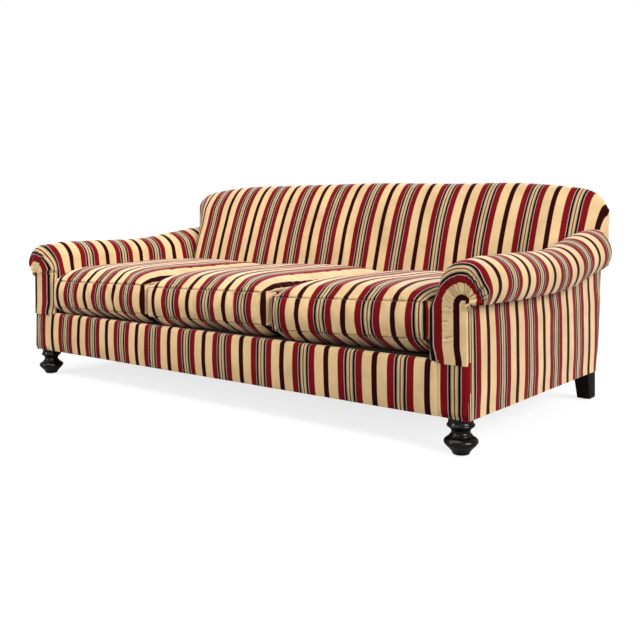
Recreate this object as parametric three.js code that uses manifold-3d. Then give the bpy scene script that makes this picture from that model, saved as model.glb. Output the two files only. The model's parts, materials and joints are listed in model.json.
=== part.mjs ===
// Three-seat English roll arm sofa: jointed hardwood frame, sprung seat, padded covers, loose seat cushions.
// Millimetres. X runs to the right as the sofa is seen from the front, Y runs to the back, Z is up.
// While the pieces are made, y = 0 is the front of the arms and z = 0 is the floor.
import * as THREE from "three";
import { mergeVertices } from "three/addons/utils/BufferGeometryUtils.js";
import Module from "manifold-3d";

const wasm = await Module();
wasm.setup();

// Overall form
const overallHeight = 855;
const seatWidth = 1992; // between the inside faces of the arms
const armWidth = 122; // upright part of an arm, inside face to outside face
const coverBottom = 113; // floor to the lower edge of the covers
const coverDepth = 961; // front of the arms to the back's rear face, at the lower edge of the covers
const rakeShare = 0.13; // how far the rear face leans back for each unit of height
const clearance = 0.3; // between pieces that touch
const overrun = 6; // how far a cutting solid passes the surface that it cuts
const cutReach = 500; // depth of the solids that trim the rear ends

// Covers and paddings
const coverThickness = 3;
const frameLift = 3; // lower edge of the covers to the underside of the frame
const dustCoverThickness = 2;
const dustCoverOverlap = 16; // how far the dust cover laps onto a rail
const facingThickness = 14;
const facingEdge = 7; // rounding of the arm facing's edge
const coverCornerRadius = 20; // front corner of the outside arm cover
const coverReturn = 102; // outside arm cover's return onto the front
const cornerLap = 40; // how far the padded front corner runs back along the side
const borderTop = 280;
const borderBulge = 12; // how far the front border stands in front of the arms
const borderHemBulge = 3;
const borderReturn = 6; // how far the border laps over the front rail

// Arms
const rollRadius = 82;
const rollCentreOffset = 105; // inside face of the arm to the roll's centre
const rollCentreHeight = 503;
const rollUnderside = 446;
const rollRise = 55; // how much the roll climbs towards the back
const riseStart = 550;
const riseEnd = 1000;
const shoulderHeight = 433; // where the inside face starts to turn into the roll
const shoulderEase = 60;
const armPadThickness = 34;
const armPadLift = 1; // front border's top to the inside arm pad
const armHook = 18; // how far the roll's padding laps under the arm board
const rollStartAngle = THREE.MathUtils.degToRad(165);
const rollEndAngle = THREE.MathUtils.degToRad(-40);

// Back
const backOverhang = 30; // how far the back's ends pass the outside faces of the arms
const backPadBottom = 290;
const backFootDepth = 774; // front face of the back at its lower edge
const backShoulderDepth = 920;
const backShoulderHeight = 757;
const backCrestDepth = 1024;
const backRearTurn = 55; // height over which the top turns down behind the crest
const backDroop = 30; // how much the top falls from the middle to the corners
const backDroopStart = 650;
const backCornerRadius = 110;
const backBevelRun = 203; // width over which the front face turns back at each end
const backBevelEase = 60; // width over which it starts to turn
const backBevelShare = 0.68; // how far it turns back for each unit of width
const backBodyThickness = 130;
const backShelf = 562; // height above which the back passes over the arms

// Hardwood frame
const railHeight = 130;
const railThickness = 32;
const postDepth = 34; // arm post, front to back
const postRollInset = 18; // padding between the arm post's head and the roll's surface
const backPostWidth = 66;
const backPostDepth = 38;
const backPostTop = 770;
const postBevelWidth = 30; // bevel of the back post above the arm, under the back's turned end
const postBevelDepth = 22;
const topRailHeight = 55;
const lowerRailLow = 300;
const lowerRailHeight = 50;
const stileWidth = 45;
const stileOffset = 350;
const armBoardLow = 470;
const armBoardThickness = 32;
const armBoardOuterReach = 32; // how far the arm board passes the outside arm cover
const tackingRailLift = 6;
const tackingRailHeight = 40;
const tackingRailWidth = 28;
const braceOffset = 330;
const braceHeight = 74;
const blockLeg = 80;
const blockHeight = 40;
const tenonThickness = 12;
const tenonInset = 30; // a tenon's shoulder, from the edge of its rail
const tenonLength = 22;
const smallTenonInset = 10;

// Feet
const footOffset = 1063; // middle of the sofa to the middle of a front foot
const footDepth = 40;
const footSoleRadius = 24;
const footBunRadius = 50;
const footBunHeight = 44;
const footRingRadius = 34;
const footRingHeight = 61;
const footNeckRadius = 28;
const footNeckHeight = 73;
const footCollarRadius = 41;
const footCollarHeight = 92;
const footTopRadius = 36;
const footTopHeight = 104;
const footSpigotRadius = 20;
const footSoleEdge = 3;
const studRadius = 4;
const studLow = 62;
const studHigh = 156;
const glideRadius = 11;
const glideHeight = 4;
const glidePinRadius = 1.5;
const glidePinHeight = 14;
const legTopOffset = 1082;
const legTopDepth = 925;
const legTopWidth = 56;
const legSoleOffset = 1068;
const legSoleDepth = 985;
const legSoleWidth = 48;

// Springs and deck
const stripThickness = 3;
const stripWidth = 20;
const stripInset = 8;
const wireRadius = 2;
const springAmplitude = 25;
const springCrown = 20;
const springSpacing = 155;
const tieRadius = 1.5;
const insulatorThickness = 6;
const deckThickness = 16.8;
const deckSideGap = 6;
const deckFrontGap = 2;
const webThickness = 2.5;
const webWidth = 60;
const webSpacing = 240;
const webRowLow = 440;
const webRowSpacing = 190;
const webEndInset = 34;

// Seat cushions
const cushionGap = 4;
const cushionFront = -14; // front seams, just ahead of the arms
const cushionRear = 776; // rear seams at the lower edge
const cushionLeanShare = 0.2; // how far the rear border leans for each unit of height
const cushionSeamLow = 325;
const cushionSeamHigh = 446;
const cushionCrown = 60;
const cushionFrontBulge = 16;
const cushionDrawIn = 4;
const cushionCornerShare = 0.02;
const cushionWall = 10; // casing and inner jacket
const zipLength = 500;
const zipHeight = 16;

// Handles of the back's curves, as shares of the stretch that each curve spans
const lowerHandleShares = [0.18, 0.32, 0.6, 0.77];
const upperHandleShares = [0.23, 0.45, 0.62, 1];

// Counts
const rollSteps = 16;
const neckSteps = 4;
const riseSteps = 8;
const cornerSteps = 6;
const backSteps = 5;
const bevelSteps = 2;
const profileSteps = 7;
const latheSteps = 16;
const curveSteps = 4;
const roundSides = 12;
const springsPerSeat = 4;
const springHalfLoops = 18;
const springStepsPerLoop = 2;
const wireSides = 4;
const deckSteps = 14;
const seatCount = 3;
const webColumns = 9;
const webRows = 2;
const casingSegments = { across: 12, along: 12, up: 4 };
const fillingSegments = { across: 8, along: 8, up: 2 };

// Places that follow from the sizes
const armInner = seatWidth / 2;
const armOuter = armInner + armWidth;
const backHalfWidth = armOuter + backOverhang;
const rollCentreX = armInner + rollCentreOffset;
const frameBottom = coverBottom + frameLift;
const frameOuter = armOuter - coverThickness - clearance;
const frameFront = facingThickness + clearance;
const postInner = armInner + armPadThickness + clearance;
const postRear = frameFront + postDepth;
const railTop = frameBottom + railHeight;
const railRear = frameFront + railThickness;
const sideRailInner = frameOuter - railThickness;
const backPostInner = frameOuter - backPostWidth;
const backSkin = coverThickness + clearance; // rear plane to the frame's rear face
const backPostFace = backSkin + backPostDepth;
const armPadBottom = borderTop + armPadLift;
const armBoardTop = armBoardLow + armBoardThickness;
const armBoardOuter = armOuter + armBoardOuterReach;
const springSeat = railTop + stripThickness + clearance + wireRadius;
const cushionPitch = seatWidth / seatCount;
const cushionWidth = cushionPitch - cushionGap;

// Depth of the back's rear plane at a height
const rearPlane = (height) => coverDepth + rakeShare * (height - coverBottom);

const beech = { color: "#c49a66", roughness: 0.65, metalness: 0 };
const ebonised = { color: "#0d0b0b", roughness: 0.25, metalness: 0 };
const steel = { color: "#8d9094", roughness: 0.4, metalness: 1 };
const nylon = { color: "#3a3532", roughness: 0.6, metalness: 0 };
const stripedVelvet = { color: "#b9805a", roughness: 0.8, metalness: 0 };
const canvas = { color: "#cbb48a", roughness: 0.9, metalness: 0 };
const felt = { color: "#8c8478", roughness: 0.95, metalness: 0 };
const jute = { color: "#a3845a", roughness: 0.95, metalness: 0 };
const feathers = { color: "#ece6da", roughness: 0.95, metalness: 0 };
const dustCloth = { color: "#1d1b1b", roughness: 0.95, metalness: 0 };

const axisX = new THREE.Vector3(1, 0, 0);
const axisY = new THREE.Vector3(0, 1, 0);
const axisZ = new THREE.Vector3(0, 0, 1);

const frame = new THREE.Group();
const suspension = new THREE.Group();
const upholstery = new THREE.Group();
const cushions = new THREE.Group();

// A closed geometry as a solid that can be joined and cut
function solidOf(geometry) {
  const bare = geometry.clone();
  bare.deleteAttribute("normal");
  bare.deleteAttribute("uv");
  const merged = mergeVertices(bare);
  const shape = {
    numProp: 3,
    vertProperties: merged.attributes.position.array,
    triVerts: new Uint32Array(merged.index.array),
  };
  return new wasm.Manifold(new wasm.Mesh(shape));
}

function geometryOf(solid) {
  const made = solid.getMesh();
  const geometry = new THREE.BufferGeometry();
  geometry.setAttribute("position", new THREE.BufferAttribute(made.vertProperties, 3));
  geometry.setIndex(new THREE.BufferAttribute(made.triVerts, 1));
  const flat = geometry.toNonIndexed();
  flat.computeVertexNormals();
  return flat;
}

function piece(group, name, geometry, look) {
  const mesh = new THREE.Mesh(geometry, new THREE.MeshStandardMaterial(look));
  mesh.name = name;
  group.add(mesh);
  return mesh;
}

// A right-hand piece and its mirror image on the left
function pair(group, name, geometry, look) {
  piece(group, name + "_right", geometry, look);
  piece(group, name + "_left", geometry, look).scale.x = -1;
}

function block(lowX, highX, lowY, highY, lowZ, highZ) {
  const box = new THREE.BoxGeometry(highX - lowX, highY - lowY, highZ - lowZ);
  return box.translate((lowX + highX) / 2, (lowY + highY) / 2, (lowZ + highZ) / 2);
}

// An outline of (y, z) points drawn out along X
function alongX(points, lowX, highX) {
  const options = { depth: highX - lowX, bevelEnabled: false };
  const geometry = new THREE.ExtrudeGeometry(new THREE.Shape(points), options);
  geometry.applyMatrix4(new THREE.Matrix4().makeBasis(axisY, axisZ, axisX));
  return geometry.translate(lowX, 0, 0);
}

// An outline of (x, z) points drawn out along Y
function alongY(points, lowY, highY) {
  const options = { depth: highY - lowY, bevelEnabled: false };
  const geometry = new THREE.ExtrudeGeometry(new THREE.Shape(points), options);
  geometry.applyMatrix4(new THREE.Matrix4().makeBasis(axisX, axisZ, axisY.clone().negate()));
  return geometry.translate(0, highY, 0);
}

// An outline of (x, y) points drawn up along Z
function alongZ(points, lowZ, highZ) {
  const options = { depth: highZ - lowZ, bevelEnabled: false };
  return new THREE.ExtrudeGeometry(new THREE.Shape(points), options).translate(0, 0, lowZ);
}

// A slab that leans with the back; near and far are its distances ahead of the rear plane
function rakedSlab(lowX, highX, lowZ, highZ, far, near) {
  const outline = [
    new THREE.Vector2(rearPlane(lowZ) - far, lowZ),
    new THREE.Vector2(rearPlane(lowZ) - near, lowZ),
    new THREE.Vector2(rearPlane(highZ) - near, highZ),
    new THREE.Vector2(rearPlane(highZ) - far, highZ),
  ];
  return alongX(outline, lowX, highX);
}

// Takes away what lies closer to the rear plane than a distance
function trimRear(solid, distance) {
  const halfWidth = armOuter + rollRadius + overrun;
  const cutter = rakedSlab(-halfWidth, halfWidth, -overrun, overallHeight + overrun, distance, -cutReach);
  return solid.subtract(solidOf(cutter));
}

// A round bar standing on Z
function bar(radius, x, y, lowZ, highZ) {
  const rod = new THREE.CylinderGeometry(radius, radius, highZ - lowZ, roundSides);
  rod.rotateX(Math.PI / 2);
  return rod.translate(x, y, (lowZ + highZ) / 2);
}

// A hole that stays clear of a round bar all the way round
function socket(radius, x, y, lowZ, highZ) {
  const across = (radius + clearance) / Math.cos(Math.PI / roundSides);
  return solidOf(bar(across, x, y, lowZ, highZ));
}

// A turned piece on the Z axis, from a path of (radius, height)
function turned(path) {
  const lathe = new THREE.LatheGeometry(path.getPoints(curveSteps), latheSteps);
  return lathe.rotateX(Math.PI / 2);
}

function signedVolume(points, faces) {
  const cross = new THREE.Vector3();
  return faces.reduce((sum, [a, b, c]) => sum + points[a].dot(cross.crossVectors(points[b], points[c])), 0);
}

// A closed skin over rings of equal count; flat drops each point onto the plane of its ring
function loft(rings, flat) {
  const count = rings[0].length;
  const clockwise = THREE.ShapeUtils.isClockWise(rings[0].map(flat));
  const turnedRings = clockwise ? rings.map((ring) => [...ring].reverse()) : rings;
  const points = turnedRings.flat();
  const faces = [];
  for (let row = 0; row + 1 < rings.length; row++)
    for (let i = 0; i < count; i++) {
      const a = row * count + i;
      const b = row * count + ((i + 1) % count);
      faces.push([a, b, b + count], [a, b + count, a + count]);
    }
  const lastRing = (rings.length - 1) * count;
  for (const [a, b, c] of THREE.ShapeUtils.triangulateShape(turnedRings[0].map(flat), []))
    faces.push([c, b, a]);
  for (const [a, b, c] of THREE.ShapeUtils.triangulateShape(turnedRings.at(-1).map(flat), []))
    faces.push([a + lastRing, b + lastRing, c + lastRing]);
  const outward = signedVolume(points, faces) > 0 ? faces : faces.map(([a, b, c]) => [c, b, a]);
  const geometry = new THREE.BufferGeometry().setFromPoints(points);
  geometry.setIndex(outward.flat());
  return geometry;
}

function reshape(geometry, move) {
  const position = geometry.attributes.position;
  const point = new THREE.Vector3();
  for (let i = 0; i < position.count; i++) {
    point.fromBufferAttribute(position, i);
    move(point);
    position.setXYZ(i, point.x, point.y, point.z);
  }
  return geometry;
}

// Arm forms, all for the right-hand arm

// How far the roll has climbed at a depth
function riseAt(depth) {
  return rollRise * THREE.MathUtils.smoothstep(depth, riseStart, riseEnd);
}

// The climb is full above the arm's shoulder and fades out down to the seat
function climb(height, depth) {
  const share = (height - armPadBottom) / (shoulderHeight - armPadBottom);
  return height + riseAt(depth) * THREE.MathUtils.clamp(share, 0, 1);
}

// Front view from the inside shoulder over the roll to its underside
function scrollPoints(innerX, rollInset, ease) {
  const radius = rollRadius - rollInset;
  const arc = new THREE.EllipseCurve(
    rollCentreX, rollCentreHeight, radius, radius, rollStartAngle, rollEndAngle, true,
  );
  const start = arc.getPoint(0);
  const tangent = new THREE.Vector2(Math.sin(rollStartAngle), -Math.cos(rollStartAngle));
  const handle = start.clone().addScaledVector(tangent, -ease);
  const neck = new THREE.QuadraticBezierCurve(new THREE.Vector2(innerX, shoulderHeight), handle, start);
  return [...neck.getPoints(neckSteps).slice(0, -1), ...arc.getPoints(rollSteps)];
}

function armOutline(innerX, outerX, rollInset, low, ease) {
  return [
    new THREE.Vector2(innerX, low),
    ...scrollPoints(innerX, rollInset, ease),
    new THREE.Vector2(outerX, rollUnderside + rollInset),
    new THREE.Vector2(outerX, low),
  ];
}

function armDepths() {
  const depths = [frameFront];
  for (let i = 0; i <= riseSteps; i++)
    depths.push(THREE.MathUtils.lerp(riseStart, riseEnd, i / riseSteps));
  return [...depths, rearPlane(overallHeight) + overrun];
}

// An arm piece of constant section that climbs with the roll
function climbing(section) {
  const rings = armDepths().map((depth) =>
    section.map((p) => new THREE.Vector3(p.x, depth, climb(p.y, depth))),
  );
  return solidOf(loft(rings, (p) => new THREE.Vector2(p.x, p.z)));
}

function armPostSolid(room) {
  const outline = armOutline(
    postInner - room, frameOuter + room, postRollInset - room, frameBottom - room, shoulderEase / 2,
  );
  return solidOf(alongY(outline, frameFront - room, postRear + room));
}

// Cuts off the outer front edge of the right-hand back post, or of the pocket that it stands in
function postBevel(room, low, high) {
  const slope = postBevelDepth / postBevelWidth;
  const startX = frameOuter + room - 2 * postBevelWidth;
  const endX = frameOuter + room + postBevelWidth;
  const startFar = backPostFace + room + slope * postBevelWidth;
  const endFar = backPostFace + room - slope * 2 * postBevelWidth;
  const ring = (z) => [
    new THREE.Vector3(startX, rearPlane(z) - startFar, z),
    new THREE.Vector3(endX, rearPlane(z) - startFar, z),
    new THREE.Vector3(endX, rearPlane(z) - endFar, z),
  ];
  return solidOf(loft([ring(low), ring(high)], (p) => new THREE.Vector2(p.x, p.y)));
}

function backPostSolid(room) {
  const post = rakedSlab(
    backPostInner - room, frameOuter + room, frameBottom - room, backPostTop + room,
    backPostFace + room, backSkin - room,
  );
  return solidOf(post).subtract(postBevel(room, backShelf - clearance + room, backPostTop + overrun));
}

function armBoardSolid() {
  const section = [
    new THREE.Vector2(postInner, armBoardLow),
    new THREE.Vector2(armBoardOuter, armBoardLow),
    new THREE.Vector2(armBoardOuter, armBoardTop),
    new THREE.Vector2(postInner, armBoardTop),
  ];
  const wide = armBoardOuter + overrun;
  const frontCut = block(-wide, wide, -overrun, postRear, 0, overallHeight);
  return trimRear(climbing(section).subtract(solidOf(frontCut)), backPostFace + clearance);
}

// Inside arm and roll: padding and cover hooked over the arm board
function armPadSolid(backBlock) {
  const wallX = armInner + armPadThickness;
  const boardEdge = armBoardOuter + clearance;
  const section = [
    new THREE.Vector2(armInner, armPadBottom),
    ...scrollPoints(armInner, 0, shoulderEase),
    new THREE.Vector2(armOuter - armHook, rollUnderside + clearance),
    new THREE.Vector2(armOuter - armHook, armBoardLow - clearance),
    new THREE.Vector2(boardEdge, armBoardLow - clearance),
    new THREE.Vector2(boardEdge, armBoardTop + clearance),
    new THREE.Vector2(wallX, armBoardTop + clearance),
    new THREE.Vector2(wallX, armPadBottom),
  ];
  return trimRear(climbing(section), backSkin)
    .subtract(armPostSolid(clearance))
    .subtract(backPostSolid(clearance))
    .subtract(backBlock);
}

// Padded scroll facing on the arm's front
function armFacing() {
  const rings = [];
  for (let i = 0; i <= curveSteps; i++) {
    const angle = (i / curveSteps) * (Math.PI / 2);
    const inset = facingEdge * (1 - Math.sin(angle));
    const depth = facingEdge * (1 - Math.cos(angle));
    const low = borderTop + clearance + inset;
    const outline = armOutline(armInner + inset, armOuter - inset, inset, low, shoulderEase);
    rings.push(outline.map((p) => new THREE.Vector3(p.x, depth, p.y)));
  }
  rings.push(rings.at(-1).map((p) => new THREE.Vector3(p.x, facingThickness, p.z)));
  return loft(rings, (p) => new THREE.Vector2(p.x, p.z));
}

// Outside arm cover: a side sheet under the roll, with a padded return round the front corner
function outsideArm() {
  const edge = [new THREE.Vector2(frameFront, coverBottom)];
  edge.push(new THREE.Vector2(rearPlane(coverBottom), coverBottom));
  const topEdge = (depth) => new THREE.Vector2(depth, rollUnderside + riseAt(depth));
  const rearTop = rollUnderside + rollRise;
  edge.push(new THREE.Vector2(rearPlane(rearTop), rearTop));
  for (const depth of armDepths().reverse())
    if (depth < rearPlane(rearTop)) edge.push(topEdge(depth));
  const sheet = alongX(edge, armOuter - coverThickness, armOuter);
  const centre = armOuter - coverCornerRadius;
  const corner = new THREE.EllipseCurve(
    centre, coverCornerRadius, coverCornerRadius, coverCornerRadius, -Math.PI / 2, 0, false,
  );
  const plan = [
    new THREE.Vector2(armOuter - coverReturn, 0),
    ...corner.getPoints(cornerSteps),
    new THREE.Vector2(armOuter, cornerLap),
    new THREE.Vector2(armOuter - coverThickness, cornerLap),
    new THREE.Vector2(armOuter - coverThickness, facingThickness),
    new THREE.Vector2(armOuter - coverReturn, facingThickness),
  ];
  return solidOf(sheet).add(solidOf(alongZ(plan, coverBottom, borderTop)));
}

// Back forms

function curveByShares(from, to, shares) {
  const at = (shareY, shareZ) =>
    new THREE.Vector2(from.x + (to.x - from.x) * shareY, from.y + (to.y - from.y) * shareZ);
  const [firstY, firstZ, secondY, secondZ] = shares;
  return new THREE.CubicBezierCurve(from, at(firstY, firstZ), at(secondY, secondZ), to);
}

// Side view of the back at the middle of the sofa, as (depth, height)
function backProfile() {
  const foot = new THREE.Vector2(backFootDepth, backPadBottom);
  const shoulder = new THREE.Vector2(backShoulderDepth, backShoulderHeight);
  const crest = new THREE.Vector2(backCrestDepth, overallHeight);
  const turnHeight = overallHeight - backRearTurn;
  const turn = new THREE.Vector2(rearPlane(turnHeight), turnHeight);
  const overTop = new THREE.Vector2(rearPlane(overallHeight), overallHeight);
  return [
    ...curveByShares(foot, shoulder, lowerHandleShares).getPoints(profileSteps).slice(0, -1),
    ...curveByShares(shoulder, crest, upperHandleShares).getPoints(profileSteps).slice(0, -1),
    ...new THREE.QuadraticBezierCurve(crest, overTop, turn).getPoints(curveSteps),
    new THREE.Vector2(rearPlane(backPadBottom), backPadBottom),
  ];
}

// Height of the back's top edge at a distance from the middle
function backTopAt(distance) {
  const cornerStart = backHalfWidth - backCornerRadius;
  const droopRun = Math.max(Math.min(distance, cornerStart) - backDroopStart, 0);
  const droop = backDroop * (droopRun / (cornerStart - backDroopStart)) ** 2;
  const past = Math.max(distance - cornerStart, 0);
  const fall = backCornerRadius - Math.sqrt(Math.max(backCornerRadius ** 2 - past ** 2, 0));
  return overallHeight - droop - fall;
}

function backRing(x) {
  const distance = Math.abs(x);
  const heightShare = (backTopAt(distance) - backShelf) / (overallHeight - backShelf);
  const past = Math.max(distance - (backHalfWidth - backBevelRun), 0);
  const easing = Math.min(past, backBevelEase);
  const inset = backBevelShare * (easing ** 2 / (2 * backBevelEase) + past - easing);
  const depthShare = 1 - inset / backBodyThickness;
  return backProfile().map((p) => {
    const height = p.y > backShelf ? backShelf + (p.y - backShelf) * heightShare : p.y;
    const shifted = p.x + rearPlane(height) - rearPlane(p.y);
    const depth = rearPlane(height) - (rearPlane(height) - shifted) * depthShare;
    return new THREE.Vector3(x, depth, height);
  });
}

// The whole back, grown by some room where it has to leave space in the arms
function backSolid(room) {
  const places = [];
  for (let i = 0; i <= cornerSteps; i++)
    places.push(backHalfWidth - backCornerRadius * (1 - Math.sin((i / cornerSteps) * (Math.PI / 2))));
  for (let i = 1; i < backSteps; i++)
    places.push((backHalfWidth - backBevelRun) * (i / backSteps));
  for (let i = 0; i <= bevelSteps; i++)
    places.push(backHalfWidth - backBevelRun + backBevelEase * (i / bevelSteps));
  const spots = [-overrun, ...places.sort((a, b) => a - b)];
  const grow = (x) => x * (1 + room / backHalfWidth);
  const rings = spots.map((x) => backRing(x).map((p) => new THREE.Vector3(grow(x), p.y - room, p.z)));
  const right = solidOf(loft(rings, (p) => new THREE.Vector2(p.y, p.z)));
  const whole = right.add(right.mirror([1, 0, 0]));
  const tuck = armInner + armPadThickness + room;
  const wide = backHalfWidth + overrun;
  const deep = rearPlane(overallHeight) + cutReach;
  const beside = solidOf(block(tuck, wide, 0, deep, 0, backShelf - room));
  const besideLeft = solidOf(block(-wide, -tuck, 0, deep, 0, backShelf - room));
  return whole.subtract(beside).subtract(besideLeft);
}

// Inside back: padding and cover, rolled over the top rail
function backPad() {
  const frameFace = backPostFace + clearance + webThickness + clearance;
  const edge = frameOuter + clearance;
  const pocketTop = backPostTop + clearance;
  const bottom = backPadBottom - overrun;
  const bevel = postBevel(clearance, bottom - overrun, pocketTop + overrun);
  const slab = solidOf(rakedSlab(-edge, edge, bottom, pocketTop, frameFace, -cutReach));
  const pocket = slab.subtract(bevel).subtract(bevel.mirror([1, 0, 0]));
  return backSolid(0).subtract(pocket);
}

function outsideBack() {
  return rakedSlab(-frameOuter, frameOuter, coverBottom, backPostTop, coverThickness, 0);
}

// Front border over the front rail
function frontBorder() {
  const face = new THREE.CubicBezierCurve(
    new THREE.Vector2(-borderHemBulge, coverBottom),
    new THREE.Vector2(-borderBulge, frameBottom + tenonInset),
    new THREE.Vector2(-borderBulge, railTop),
    new THREE.Vector2(-borderHemBulge, borderTop - borderBulge),
  );
  const outline = [
    ...face.getPoints(profileSteps),
    new THREE.Vector2(borderReturn, borderTop),
    new THREE.Vector2(facingThickness + borderReturn, borderTop),
    new THREE.Vector2(facingThickness + borderReturn, railTop + clearance),
    new THREE.Vector2(facingThickness, railTop + clearance),
    new THREE.Vector2(facingThickness, coverBottom),
  ];
  const end = armOuter - coverReturn - clearance;
  return alongX(outline, -end, end);
}

// Frame pieces

// A tenon on a rail that leans with the back
function rakedTenon(lowX, highX, lowZ, highZ, railDepth, room) {
  const middle = backSkin + railDepth / 2;
  const half = tenonThickness / 2 + room;
  return solidOf(rakedSlab(lowX, highX, lowZ - room, highZ + room, middle + half, middle - half));
}

// The three rails between the back posts, with their sizes
const backRails = [
  { name: "back_rail", low: frameBottom, high: railTop, depth: railThickness, inset: tenonInset },
  {
    name: "back_lower_rail", low: lowerRailLow, high: lowerRailLow + lowerRailHeight,
    depth: backPostDepth, inset: smallTenonInset,
  },
  {
    name: "back_top_rail", low: backPostTop - topRailHeight, high: backPostTop,
    depth: backPostDepth, inset: smallTenonInset,
  },
];

function addBackRails() {
  const end = backPostInner + tenonLength;
  for (const { name, low, high, depth, inset } of backRails) {
    const rail = rakedSlab(-backPostInner, backPostInner, low, high, backSkin + depth, backSkin);
    const tenons = rakedTenon(-end, end, low + inset, high - inset, depth, 0);
    piece(frame, name, geometryOf(solidOf(rail).add(tenons)), beech);
  }
}

// Side rail tenons run into the arm post in front and the back post behind
function sideTenon(room) {
  const middle = (sideRailInner + frameOuter) / 2;
  const half = tenonThickness / 2 + room;
  const low = frameBottom + tenonInset - room;
  const high = railTop - tenonInset + room;
  const front = postRear - tenonLength - room;
  const rear = rearPlane(low) - backPostFace + tenonLength + room;
  return solidOf(block(middle - half, middle + half, front, rear, low, high));
}

function frontRailTenon(room) {
  const end = postInner + tenonLength + room;
  const middle = frameFront + railThickness / 2;
  const half = tenonThickness / 2 + room;
  const low = frameBottom + tenonInset - room;
  const high = railTop - tenonInset + room;
  return solidOf(block(-end, end, middle - half, middle + half, low, high));
}

function addSeatFrame() {
  const front = block(-postInner, postInner, frameFront, railRear, frameBottom, railTop);
  piece(frame, "front_rail", geometryOf(solidOf(front).add(frontRailTenon(0))), beech);
  const deep = rearPlane(railTop);
  const side = solidOf(block(sideRailInner, frameOuter, postRear, deep, frameBottom, railTop));
  const sideRail = trimRear(side, backPostFace + clearance).add(sideTenon(0));
  pair(frame, "side_rail", geometryOf(sideRail), beech);
  const braceTop = frameBottom + braceHeight;
  const braceLow = braceOffset - railThickness / 2;
  const braceHigh = braceOffset + railThickness / 2;
  const brace = solidOf(block(braceLow, braceHigh, railRear, deep, frameBottom, braceTop));
  pair(frame, "seat_brace", geometryOf(trimRear(brace, backSkin + railThickness + clearance)), beech);
}

function addCornerBlocks() {
  const forward = [
    new THREE.Vector2(0, 0),
    new THREE.Vector2(0, blockLeg),
    new THREE.Vector2(-blockLeg, 0),
  ];
  const backward = forward.map((p) => new THREE.Vector2(p.x, -p.y));
  const rearY = rearPlane(frameBottom) - backPostFace - clearance;
  const corners = [
    { name: "front_corner_block", plan: forward, y: postRear },
    { name: "rear_corner_block", plan: backward, y: rearY },
  ];
  for (const { name, plan, y } of corners) {
    const prism = alongZ(plan, frameBottom, frameBottom + blockHeight);
    pair(frame, name, prism.translate(sideRailInner, y, 0), beech);
  }
}

function addArmFrames() {
  const studHole = socket(studRadius, footOffset, footDepth, frameBottom - overrun, studHigh + clearance);
  const post = armPostSolid(0)
    .subtract(frontRailTenon(clearance))
    .subtract(sideTenon(clearance))
    .subtract(studHole);
  pair(frame, "arm_post", geometryOf(post), beech);
  pair(frame, "arm_board", geometryOf(armBoardSolid()), beech);
  const tackLow = armPadBottom + tackingRailLift;
  const tack = solidOf(
    block(
      postInner, postInner + tackingRailWidth, postRear, rearPlane(overallHeight),
      tackLow, tackLow + tackingRailHeight,
    ),
  );
  pair(frame, "arm_tacking_rail", geometryOf(trimRear(tack, backPostFace + clearance)), beech);
}

function addBackPosts() {
  const end = backPostInner + tenonLength + clearance;
  let post = backPostSolid(0).subtract(sideTenon(clearance));
  for (const { low, high, depth, inset } of backRails)
    post = post.subtract(rakedTenon(-end, end, low + inset, high - inset, depth, clearance));
  pair(frame, "back_post", geometryOf(post), beech);
  const low = lowerRailLow + lowerRailHeight;
  const stile = rakedSlab(
    stileOffset - stileWidth / 2, stileOffset + stileWidth / 2,
    low, backPostTop - topRailHeight, backPostFace, backSkin,
  );
  pair(frame, "back_stile", stile, beech);
}

// Turned front foot on its own axis, standing on a nailed glide
function frontFoot() {
  const sole = glideHeight + clearance;
  const top = coverBottom - clearance;
  const path = new THREE.Path();
  path.moveTo(0, sole);
  path.lineTo(footSoleRadius - footSoleEdge, sole);
  path.quadraticCurveTo(footSoleRadius, sole, footSoleRadius, sole + footSoleEdge);
  path.quadraticCurveTo(footSoleRadius, footBunHeight / 2, footBunRadius - footSoleEdge, footBunHeight - footSoleEdge);
  path.quadraticCurveTo(footBunRadius, footBunHeight, footBunRadius - footSoleEdge, footBunHeight + footSoleEdge);
  path.quadraticCurveTo(footBunRadius - footSoleEdge, footRingHeight - footSoleEdge, footRingRadius, footRingHeight);
  path.quadraticCurveTo(footNeckRadius, footRingHeight, footNeckRadius, footNeckHeight);
  path.quadraticCurveTo(footNeckRadius, footCollarHeight - footSoleEdge, footCollarRadius, footCollarHeight);
  path.quadraticCurveTo(footCollarRadius, footTopHeight, footTopRadius, footTopHeight);
  path.lineTo(footTopRadius, top);
  path.lineTo(footSpigotRadius, top);
  path.lineTo(footSpigotRadius, frameBottom - clearance);
  path.lineTo(0, frameBottom - clearance);
  const pinHole = socket(glidePinRadius, 0, 0, -overrun, glidePinHeight + clearance);
  const studHole = socket(studRadius, 0, 0, studLow - clearance, frameBottom + overrun);
  return geometryOf(solidOf(turned(path)).subtract(pinHole).subtract(studHole));
}

function glide() {
  const path = new THREE.Path();
  path.moveTo(0, 0);
  path.lineTo(glideRadius - glideHeight / 2, 0);
  path.quadraticCurveTo(glideRadius, 0, glideRadius, glideHeight);
  path.lineTo(glidePinRadius, glideHeight);
  path.lineTo(glidePinRadius, glidePinHeight);
  path.lineTo(0, glidePinHeight);
  return turned(path);
}

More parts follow.
